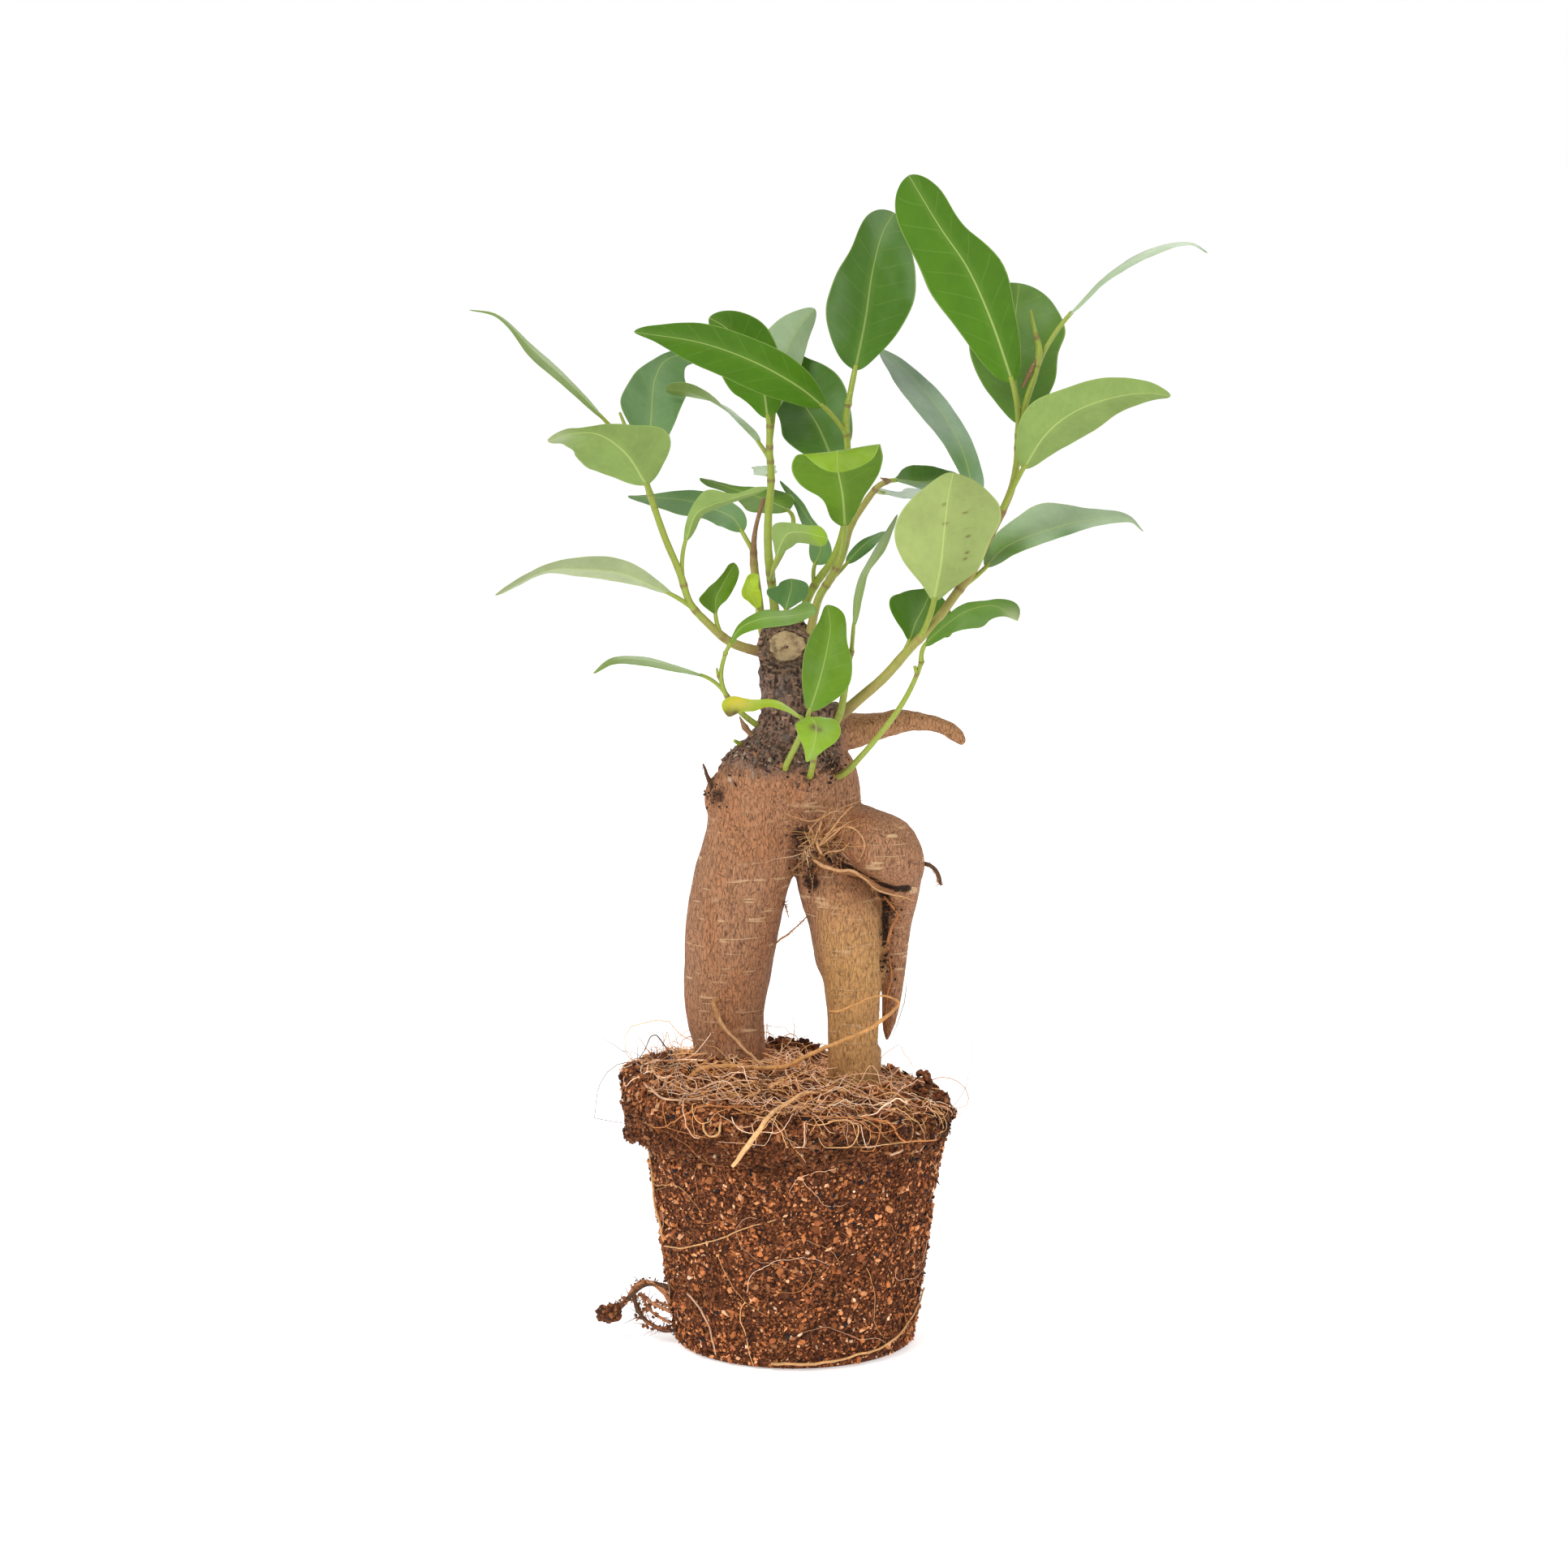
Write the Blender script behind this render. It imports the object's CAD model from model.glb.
"""Looks of a small ficus tree with swollen roots, standing on its bare root ball.

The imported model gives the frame. Every piece below is worked out in millimetres as whole numpy
arrays, put into a mesh in metres, given a procedural finish, and set to ride with the model.
"""

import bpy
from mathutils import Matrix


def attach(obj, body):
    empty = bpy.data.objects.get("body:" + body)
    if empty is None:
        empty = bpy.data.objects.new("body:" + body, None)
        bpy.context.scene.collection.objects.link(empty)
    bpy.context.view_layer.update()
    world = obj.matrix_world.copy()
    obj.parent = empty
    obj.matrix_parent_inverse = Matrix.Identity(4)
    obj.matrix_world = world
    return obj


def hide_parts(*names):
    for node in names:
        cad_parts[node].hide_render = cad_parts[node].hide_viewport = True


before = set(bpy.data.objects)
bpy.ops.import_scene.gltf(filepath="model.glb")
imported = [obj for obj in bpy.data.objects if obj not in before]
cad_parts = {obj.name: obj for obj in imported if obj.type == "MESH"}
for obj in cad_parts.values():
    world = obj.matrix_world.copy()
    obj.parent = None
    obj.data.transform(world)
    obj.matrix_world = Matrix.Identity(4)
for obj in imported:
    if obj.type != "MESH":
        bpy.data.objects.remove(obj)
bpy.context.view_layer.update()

import logging
from dataclasses import dataclass, field
from enum import Enum
from typing import Any, Sequence

import bpy
import numpy as np
from mathutils import Vector

log = logging.getLogger("ficus")
MM = 0.001
SEED = 4329

Point = tuple[float, float, float]
Colour = tuple[float, float, float]
Rng = np.random.Generator


def unit(v: np.ndarray) -> np.ndarray:
    """Scale the vectors along the last axis to length one."""
    return v / np.maximum(np.linalg.norm(v, axis=-1, keepdims=True), 1e-9)


def smoothstep(low: float, high: float, x: np.ndarray) -> np.ndarray:
    """Rise from 0 where x is low to 1 where it is high, with level ends: 3 t^2 - 2 t^3."""
    t = np.clip((x - low) / (high - low), 0.0, 1.0)
    return t * t * (3.0 - 2.0 * t)


def bell(distance: np.ndarray, width: float) -> np.ndarray:
    """Return exp(-(distance / width) ** 2), a soft bump one high."""
    return np.exp(-((distance / width) ** 2))


def circle(sides: int) -> np.ndarray:
    """Return the angles of points set evenly round a circle."""
    return 2 * np.pi * np.arange(sides) / sides


def run_along(points: np.ndarray) -> np.ndarray:
    """Return the length of a line of points up to each of them."""
    return np.concatenate([[0.0], np.cumsum(np.linalg.norm(np.diff(points, axis=0), axis=1))])


def spread_out(share: np.ndarray, values: Sequence[float]) -> np.ndarray:
    """Read values that are set evenly from share 0 to 1, with straight lines between them."""
    return np.interp(share, np.linspace(0, 1, len(values)), values)


def spline(points: Sequence[Point] | np.ndarray, count: int) -> np.ndarray:
    """Draw a centripetal Catmull-Rom curve through points.

    Each span is the cubic that meets both of its ends with slopes taken from the neighbouring
    points, weighted by the square roots of their distances.

    Args:
        points: The points to pass through.
        count: How many samples to take, at even steps of the parameter.

    Returns:
        The samples, shaped (count, 3).
    """
    p = np.asarray(points, float)
    padded = np.vstack([2 * p[0] - p[1], p, 2 * p[-1] - p[-2]])
    place = np.linspace(0, len(p) - 1, count)
    low = np.minimum(place.astype(int), len(p) - 2)
    w = (place - low)[:, None]
    a, b, c, d = (padded[low + k] for k in range(4))
    before = np.sqrt(np.linalg.norm(b - a, axis=1))[:, None]
    span = np.sqrt(np.linalg.norm(c - b, axis=1))[:, None]
    after = np.sqrt(np.linalg.norm(d - c, axis=1))[:, None]
    leave = ((b - a) / before - (c - a) / (before + span) + (c - b) / span) * span
    reach = ((c - b) / span - (d - b) / (span + after) + (d - c) / after) * span
    square = (3 * (c - b) - 2 * leave - reach) * w**2
    return b + leave * w + square + (2 * (b - c) + leave + reach) * w**3


def along_curve(points: Sequence[Point] | np.ndarray, shares: np.ndarray) -> tuple[np.ndarray, float]:
    """Find the points at given shares of a curve's length.

    Args:
        points: The curve's points.
        shares: Shares of the length, from 0 to 1.

    Returns:
        The points, shaped (len(shares), 3), and the curve's length.
    """
    dense = spline(points, 160)
    run = run_along(dense)
    found = [np.interp(shares * run[-1], run, dense[:, k]) for k in range(3)]
    return np.stack(found, -1), float(run[-1])


def cloud(points: np.ndarray, size: float, octaves: int = 1, seed: int = 0) -> np.ndarray:
    """Soft random relief between about -1 and 1.

    Random heights sit on the corners of a grid and are blended with an eased weight between them.
    Each further octave is half the size and half the height.

    Args:
        points: Where to read it, shaped (..., 3), in millimetres.
        size: Width of one lump of the coarsest octave, or one width for each axis.
        octaves: How many layers are added up.
        seed: Which relief.

    Returns:
        One value for each point.
    """
    total = np.zeros(points.shape[:-1])
    for layer in range(octaves):
        place = points / (np.asarray(size) * 0.5**layer) + 17.3 * (seed + layer)
        cell = np.floor(place)
        part = place - cell
        part = part * part * (3 - 2 * part)
        value = np.zeros_like(total)
        for corner in range(8):
            step = np.array([corner & 1, corner >> 1 & 1, corner >> 2 & 1])
            weight = np.prod(np.where(step == 1, part, 1 - part), -1)
            mix = np.sin((cell + step) @ np.array([127.1, 311.7, 74.7])) * 43758.5453
            value += weight * (mix - np.floor(mix))
        total += (2 * value - 1) * 0.5**layer
    return total


@dataclass
class Shape:
    """Vertices, faces and the values that finishes read, each kept as one array.

    Attributes:
        points: Vertices in millimetres, shaped (n, 3).
        quads: Corner numbers of the four-sided faces.
        triangles: Corner numbers of the three-sided faces.
        values: Named values, one number or one colour for each vertex.
    """

    points: np.ndarray
    quads: np.ndarray = field(default_factory=lambda: np.zeros((0, 4), int))
    triangles: np.ndarray = field(default_factory=lambda: np.zeros((0, 3), int))
    values: dict[str, np.ndarray] = field(default_factory=dict)

    @staticmethod
    def join(shapes: "Sequence[Shape]") -> "Shape":
        """Put several shapes into one. They carry the same named values.

        Args:
            shapes: The shapes to put together.

        Returns:
            One shape with all their faces.
        """
        starts = np.cumsum([0] + [len(s.points) for s in shapes])
        return Shape(
            np.concatenate([s.points for s in shapes]),
            np.concatenate([s.quads + k for s, k in zip(shapes, starts)]),
            np.concatenate([s.triangles + k for s, k in zip(shapes, starts)]),
            {n: np.concatenate([s.values[n] for s in shapes]) for n in shapes[0].values},
        )

    def mesh(self, name: str) -> bpy.types.Mesh:
        """Write the shape into a new mesh, in metres, with its values as attributes.

        Four-sided faces are shaded smooth. Three-sided ones stay flat, as on chips and crumbs.

        Args:
            name: The mesh's name.

        Returns:
            The mesh.
        """
        mesh = bpy.data.meshes.new(name)
        mesh.vertices.add(len(self.points))
        set_points(mesh, self.points)
        corners = np.concatenate([self.quads.ravel(), self.triangles.ravel()])
        sizes = [4] * len(self.quads) + [3] * len(self.triangles)
        mesh.loops.add(len(corners))
        mesh.loops.foreach_set("vertex_index", corners.astype(np.int32))
        mesh.polygons.add(len(sizes))
        starts = np.concatenate([[0], np.cumsum(sizes)[:-1]])
        mesh.polygons.foreach_set("loop_start", starts.astype(np.int32))
        mesh.polygons.foreach_set("use_smooth", np.array(sizes) == 4)
        mesh.update(calc_edges=True)
        write_values(mesh, self.values)
        return mesh


def set_points(mesh: bpy.types.Mesh, points: np.ndarray) -> None:
    """Write the places of a mesh's vertices, given in millimetres."""
    mesh.vertices.foreach_set("co", (points * MM).astype(np.float32).ravel())


def stored(mesh: bpy.types.Mesh, name: str) -> np.ndarray:
    """Read one vector of every vertex.

    Args:
        mesh: The mesh.
        name: co for the places in metres, normal for the normals.

    Returns:
        The vectors, shaped (n, 3).
    """
    flat = np.empty(len(mesh.vertices) * 3, np.float32)
    mesh.vertices.foreach_get(name, flat)
    return flat.reshape(-1, 3).astype(float)


def add_object(name: str, data: bpy.types.ID) -> bpy.types.Object:
    """Put new data into the scene.

    Args:
        name: Name of the object.
        data: Its mesh, light or camera.

    Returns:
        The object.
    """
    made = bpy.data.objects.new(name, data)
    bpy.context.scene.collection.objects.link(made)
    return made


def write_values(mesh: bpy.types.Mesh, values: dict[str, np.ndarray]) -> None:
    """Store named values on a mesh's vertices.

    Args:
        mesh: The mesh to write to.
        values: Arrays with one number, or one colour of three numbers, for each vertex.
    """
    for name, value in values.items():
        if value.ndim == 1:
            layer = mesh.attributes.new(name, "FLOAT", "POINT")
            layer.data.foreach_set("value", value.astype(np.float32))
        else:
            layer = mesh.attributes.new(name, "FLOAT_VECTOR", "POINT")
            layer.data.foreach_set("vector", value.astype(np.float32).ravel())


def loft(rings: np.ndarray, ends: np.ndarray, values: dict[str, np.ndarray]) -> Shape:
    """Skin many closed rows of rings at once, each closed by a point at both ends.

    Args:
        rings: Ring points, counterclockwise about the way they are stacked, shaped
            (pieces, steps, sides, 3).
        ends: First and last point of every piece, shaped (pieces, 2, 3).
        values: Named values at each ring point, shaped (pieces, steps, sides) or with a last axis
            of three. An end takes the mean of its ring.

    Returns:
        One shape with all the pieces.
    """
    pieces, steps, sides, _ = rings.shape
    points = np.concatenate([rings.reshape(pieces, -1, 3), ends], 1)
    here = np.arange(sides)
    after = (here + 1) % sides
    row = sides * np.arange(steps - 1)[:, None]
    quads = np.stack([row + here, row + after, row + sides + after, row + sides + here], -1)
    foot, tip, top = steps * sides, steps * sides + 1, (steps - 1) * sides
    low = np.stack([np.full(sides, foot), after, here], -1)
    high = np.stack([np.full(sides, tip), top + here, top + after], -1)
    base = (steps * sides + 2) * np.arange(pieces)[:, None, None]
    spread = {}
    for name, value in values.items():
        flat = value.reshape(pieces, steps * sides, *value.shape[3:])
        closing = np.stack([value[:, 0].mean(1), value[:, -1].mean(1)], 1)
        spread[name] = np.concatenate([flat, closing], 1).reshape(-1, *value.shape[3:])
    return Shape(
        points.reshape(-1, 3),
        (quads.reshape(1, -1, 4) + base).reshape(-1, 4),
        (np.concatenate([low, high])[None] + base).reshape(-1, 3),
        spread,
    )


def tubes(
    paths: np.ndarray, radii: np.ndarray, sides: int, values: dict[str, np.ndarray] | None = None
) -> Shape:
    """Round rods along many paths at once.

    Each ring is a circle about its path's tangent. Its side vector is the one of the ring before,
    with the part along the new tangent taken out, so that no rod twists.

    Args:
        paths: Points of every path, shaped (rods, steps, 3).
        radii: Radius at each point, shaped (rods, steps).
        sides: Sides of every rod.
        values: Named values at each path point, shaped (rods, steps) or (rods, steps, 3).

    Returns:
        One shape with all the rods.
    """
    tangent = unit(np.gradient(paths, axis=1))
    side = np.empty_like(paths)
    last = np.eye(3)[np.argmin(np.abs(tangent[:, 0]), axis=1)]
    for k in range(paths.shape[1]):
        here = tangent[:, k]
        last = unit(last - (last * here).sum(-1, keepdims=True) * here)
        side[:, k] = last
    up = np.cross(tangent, side)
    turn = circle(sides)
    ring = side[:, :, None] * np.cos(turn)[:, None] + up[:, :, None] * np.sin(turn)[:, None]
    rings = paths[:, :, None] + ring * radii[:, :, None, None]
    spread = {n: np.repeat(v[:, :, None], sides, 2) for n, v in (values or {}).items()}
    return loft(rings, paths[:, [0, -1]], spread)


def drawn(path: Sequence[Point], radii: Sequence[float], count: int) -> tuple[np.ndarray, np.ndarray]:
    """Sample a rod's axis and its radii.

    Args:
        path: Axis points.
        radii: One radius, or one for each axis point.
        count: How many samples.

    Returns:
        Points, shaped (count, 3), and their radii.
    """
    share = np.linspace(0, 1, count)
    return spline(path, count), spread_out(share, radii)


def wander(
    starts: np.ndarray, headings: np.ndarray, lengths: np.ndarray, steps: int, curl: float,
    rng: Rng,
) -> np.ndarray:
    """Let fibres grow from their starts, each step turned a little at random.

    Args:
        starts: First points, shaped (n, 3).
        headings: Directions at the start, shaped (n, 3).
        lengths: Length of each fibre, in millimetres.
        steps: Points of each fibre.
        curl: How much each step turns.
        rng: Source of the random turns.

    Returns:
        The paths, shaped (n, steps, 3).
    """
    turns = rng.normal(size=(len(starts), steps - 1, 3)) * curl
    turns += rng.normal(size=(len(starts), 1, 3)) * curl * 0.6
    way = unit(headings[:, None] + np.cumsum(turns, 1)) * (lengths / (steps - 1))[:, None, None]
    moved = starts[:, None] + np.cumsum(way, 1)
    return np.concatenate([starts[:, None], moved], 1)


class Wire:
    """A socket's output inside a material, on which maths is written as Python expressions."""

    def __init__(self, paint: "Paint", socket: bpy.types.NodeSocket) -> None:
        """Keep the socket and the material it belongs to."""
        self.paint = paint
        self.socket = socket

    def _math(self, operation: str, *terms: Any) -> "Wire":
        """Add one Math node on wires or numbers."""
        return self.paint.node("ShaderNodeMath", {"operation": operation}, dict(enumerate(terms)))

    def __add__(self, other: Any) -> "Wire":
        """Sum."""
        return self._math("ADD", self, other)

    __radd__ = __add__

    def __mul__(self, other: Any) -> "Wire":
        """Product."""
        return self._math("MULTIPLY", self, other)

    __rmul__ = __mul__

    def __sub__(self, other: Any) -> "Wire":
        """Difference."""
        return self._math("SUBTRACT", self, other)

    def __rsub__(self, other: Any) -> "Wire":
        """Difference from a number."""
        return self._math("SUBTRACT", other, self)

    def __abs__(self) -> "Wire":
        """Absolute value."""
        return self._math("ABSOLUTE", self)

    def sine(self) -> "Wire":
        """Sine."""
        return self._math("SINE", self)

    def fraction(self) -> "Wire":
        """Part after the point."""
        return self._math("FRACT", self)

    def rise(self, low: float, high: float) -> "Wire":
        """Ease from 0 at low to 1 at high, or the other way if low is the larger.

        Args:
            low: Value that gives 0.
            high: Value that gives 1.

        Returns:
            The eased share, kept between 0 and 1.
        """
        settings = {"interpolation_type": "SMOOTHSTEP"}
        if low < high:
            return self.paint.node("ShaderNodeMapRange", settings, {0: self, 1: low, 2: high})
        return 1.0 - self.paint.node("ShaderNodeMapRange", settings, {0: self, 1: high, 2: low})


class Paint:
    """One material under construction, with the few nodes that this tree's finishes need."""

    def __init__(self, name: str) -> None:
        """Start an empty material.

        Args:
            name: The material's name.
        """
        self.material = bpy.data.materials.new(name)
        self.material.use_nodes = True
        self.tree = self.material.node_tree
        self.tree.nodes.clear()

    def node(self, kind: str, settings: dict[str, Any], inputs: dict[Any, Any], out: Any = 0) -> Wire:
        """Add a node, set it, then fill its sockets.

        Args:
            kind: The node's type.
            settings: Its properties.
            inputs: Values or wires by socket name or number.
            out: The output to return.

        Returns:
            That output as a wire.
        """
        made = self.tree.nodes.new(kind)
        for key, value in settings.items():
            setattr(made, key, value)
        for key, value in inputs.items():
            if isinstance(value, Wire):
                self.tree.links.new(value.socket, made.inputs[key])
            else:
                made.inputs[key].default_value = value
        return Wire(self, made.outputs[out])

    def vector(self, operation: str, *terms: Any) -> Wire:
        """Add one Vector Math node with these inputs."""
        return self.node("ShaderNodeVectorMath", {"operation": operation}, dict(enumerate(terms)))

    def place(self, scale: Sequence[float] = (1, 1, 1), warp: float = 0.0) -> Wire:
        """Object coordinates in millimetres, stretched by a scale and bent by soft noise.

        Args:
            scale: Factor on each axis. A small factor draws a pattern out along that axis.
            warp: How far the noise bends it, in millimetres.

        Returns:
            The vector.
        """
        coordinates = self.node("ShaderNodeTexCoord", {}, {}, "Object")
        scaled = self.vector("MULTIPLY", coordinates, tuple(s / MM for s in scale))
        if not warp:
            return scaled
        waves = {"Vector": scaled, "Scale": 0.18, "Detail": 2.0}
        even = self.vector("SUBTRACT", self.node("ShaderNodeTexNoise", {}, waves, "Color"), (0.5, 0.5, 0.5))
        return self.vector("ADD", scaled, self.vector("MULTIPLY", even, (warp, warp, warp)))

    def value(self, name: str) -> Wire:
        """Read a number that the mesh carries under this name."""
        return self.node("ShaderNodeAttribute", {"attribute_name": name}, {}, "Fac")

    def colours(self, name: str) -> Wire:
        """Read a colour that the mesh carries under this name."""
        return self.node("ShaderNodeAttribute", {"attribute_name": name}, {}, "Color")

    def noise(self, where: Wire, size: float, detail: float = 3.0, rough: float = 0.55) -> Wire:
        """Cloudy values from 0 to 1, size millimetres wide, with finer layers of weight rough."""
        inputs = {"Vector": where, "Scale": 1 / size, "Detail": detail, "Roughness": rough}
        return self.node("ShaderNodeTexNoise", {}, inputs)

    def cells(self, where: Wire, size: float, feature: str = "F1") -> Wire:
        """Voronoi cells.

        Args:
            where: The vector to read them at, in millimetres.
            size: Width of one cell.
            feature: F1 for the distance to a cell's middle, DISTANCE_TO_EDGE for its edge.

        Returns:
            The distance, as a share of a cell's width.
        """
        inputs = {"Vector": where, "Scale": 1 / size}
        return self.node("ShaderNodeTexVoronoi", {"feature": feature}, inputs, "Distance")

    def mix(self, first: Any, second: Any, share: Any) -> Wire:
        """Blend two colours, wires or three numbers each, by the share of the second."""
        inputs = {0: share, 6: self.rgba(first), 7: self.rgba(second)}
        return self.node("ShaderNodeMix", {"data_type": "RGBA"}, inputs, 2)

    def shade(self, colour: Any, factor: Any) -> Wire:
        """Multiply a colour by a number."""
        inputs = {0: colour if isinstance(colour, Wire) else tuple(colour), "Scale": factor}
        return self.node("ShaderNodeVectorMath", {"operation": "SCALE"}, inputs)

    @staticmethod
    def rgba(colour: Any) -> Any:
        """Give a plain colour its alpha; leave a wire as it is."""
        return colour if isinstance(colour, Wire) else (*colour, 1.0)

    def bump(self, height: Any, strength: float, distance: float, under: Wire | None = None) -> Wire:
        """Turn a height into a normal.

        Args:
            height: The height, from 0 to 1.
            strength: How strongly it shows.
            distance: What a height of 1 stands for, in millimetres.
            under: A normal that this one adds to.

        Returns:
            The normal.
        """
        inputs = {"Height": height, "Strength": strength, "Distance": distance * MM}
        if under is not None:
            inputs["Normal"] = under
        return self.node("ShaderNodeBump", {}, inputs)

    def finish(
        self, colour: Any, roughness: Any, normal: Wire | None = None, **fixed: Any
    ) -> bpy.types.Material:
        """Close the material with its surface shader.

        Args:
            colour: Base colour, a wire or three numbers.
            roughness: Roughness, a wire or a number.
            normal: The surface normal.
            fixed: Further sockets of the shader by name, with _ for a space.

        Returns:
            The finished material.
        """
        inputs: dict[str, Any] = {"Base Color": self.rgba(colour), "Roughness": roughness}
        if normal is not None:
            inputs["Normal"] = normal
        inputs.update({key.replace("_", " "): value for key, value in fixed.items()})
        surface = self.node("ShaderNodeBsdfPrincipled", {}, inputs)
        output = self.tree.nodes.new("ShaderNodeOutputMaterial")
        self.tree.links.new(surface.socket, output.inputs["Surface"])
        return self.material


def srgb(red: int, green: int, blue: int) -> Colour:
    """Turn a screen colour into the linear one that shaders use.

    Args:
        red: Red from 0 to 255.
        green: Green from 0 to 255.
        blue: Blue from 0 to 255.

    Returns:
        The linear colour.
    """
    share = np.array([red, green, blue]) / 255
    low = share / 12.92
    high = ((share + 0.055) / 1.055) ** 2.4
    return tuple(float(c) for c in np.where(share <= 0.04045, low, high))


def toned(
    shades: Sequence[Colour], odds: Sequence[float], count: int, bright: tuple[float, float], rng: Rng
) -> np.ndarray:
    """Give each of many small pieces one of a few colours, made a little lighter or darker.

    Args:
        shades: The colours.
        odds: How often each is taken. They add up to 1.
        count: How many pieces.
        bright: Least and greatest factor on a colour.
        rng: Source of the random choices.

    Returns:
        The colours, shaped (count, 3).
    """
    pick = rng.choice(len(shades), count, p=odds)
    return np.array(shades)[pick] * rng.uniform(*bright, (count, 1))


class Slot(Enum):
    """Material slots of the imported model."""

    SOIL = "soil"
    ROOT = "root"
    BARK = "bark"
    LEAF = "leaf"
    STEM = "stem"


class Tone(Enum):
    """Colours that one face of a leaf can have."""

    DEEP = srgb(72, 112, 32)
    BLUE = srgb(80, 120, 58)
    MIST = srgb(104, 140, 84)
    GLAZE = srgb(146, 168, 142)
    FROST = srgb(168, 190, 150)
    VIVID = srgb(70, 114, 0)
    MID = srgb(94, 132, 50)
    FRESH = srgb(94, 131, 24)
    LIGHT = srgb(130, 154, 80)
    SAGE = srgb(151, 167, 96)
    PALE = srgb(160, 173, 126)
    BRIGHT = srgb(130, 165, 22)
    LIME = srgb(166, 192, 40)
    YELLOW = srgb(214, 196, 66)
    BROWN = srgb(98, 68, 38)


@dataclass(frozen=True)
class Limb:
    """A swollen limb of the trunk.

    Attributes:
        path: Axis points in millimetres.
        radii: Radius at each axis point.
        depth: Depth from front to back as a share of the width, at each axis point or one for all.
        level: Whether its rings lie flat.
    """

    path: Sequence[Point]
    radii: Sequence[float]
    depth: Sequence[float] = (1.0,)
    level: bool = False


@dataclass(frozen=True)
class Strand:
    """A round rod that tapers: a stem, a root or a fibre.

    Attributes:
        path: Axis points in millimetres.
        radii: One radius, or one for each axis point.
        age: How corky a stem is beyond what its thickness tells, along its length.
    """

    path: Sequence[Point]
    radii: Sequence[float]
    age: Sequence[float] = (0.0,)


@dataclass(frozen=True)
class Mark:
    """A discoloured spot on a leaf.

    Attributes:
        along: Share of the midrib at its middle.
        across: Share of the half width at its middle, negative to the left.
        size: Its radius in millimetres.
        tone: Its colour.
    """

    along: float
    across: float
    size: float
    tone: Tone


STATIONS = (0.1, 0.3, 0.5, 0.7, 0.9)
SPECKS = (
    Mark(0.28, -0.3, 0.35, Tone.BROWN),
    Mark(0.37, -0.55, 0.45, Tone.BROWN),
    Mark(0.42, -0.55, 0.4, Tone.BROWN),
    Mark(0.54, -0.5, 0.35, Tone.BROWN),
    Mark(0.63, 0.0, 0.5, Tone.BROWN),
    Mark(0.77, 0.08, 0.45, Tone.BROWN),
    Mark(0.72, -0.4, 0.45, Tone.BROWN),
    Mark(0.74, -0.52, 0.4, Tone.BROWN),
    Mark(0.6, -0.42, 0.3, Tone.BROWN),
)
WITHER = (
    Mark(0.8, 0.3, 4.5, Tone.YELLOW), Mark(1.0, 0.0, 3.2, Tone.BROWN), Mark(0.92, -0.5, 1.6, Tone.BROWN),
)
SPOT = (Mark(0.3, 0.1, 1.5, Tone.BROWN), Mark(0.36, -0.15, 0.9, Tone.BROWN))


@dataclass(frozen=True)
class Blade:
    """A leaf: where it hangs on its stem, its midrib and its half widths.

    Attributes:
        at: Share of the stem's length where the stalk leaves it.
        rib: Midrib points in millimetres, from the stalk to the tip.
        left: Half widths left of the midrib, at the shares in STATIONS.
        right: Half widths right of it.
        roll: Turn about the midrib in degrees. 0 turns the upper face to the viewer.
        twist: Further turn from the foot to the tip.
        fold: Angle by which both halves rise from the midrib.
        wave: Height of the waves of its margin, as a share of the width.
        upper: Colour of the upper face.
        under: Colour of the underside.
        marks: Discoloured spots.
    """

    at: float
    rib: Sequence[Point]
    left: Sequence[float]
    right: Sequence[float]
    roll: float = 0.0
    twist: float = 0.0
    fold: float = 8.0
    wave: float = 0.03
    upper: Tone = Tone.DEEP
    under: Tone = Tone.LIGHT
    marks: Sequence[Mark] = ()

    @property
    def width(self) -> float:
        """Widest measure across."""
        return max(self.left) + max(self.right)


@dataclass(frozen=True)
class Shoot:
    """A leafy shoot. Every leaf hangs on the first stem.

    Attributes:
        stems: Its stems and side buds.
        blades: Its leaves.
    """

    stems: Sequence[Strand]
    blades: Sequence[Blade]


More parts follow.
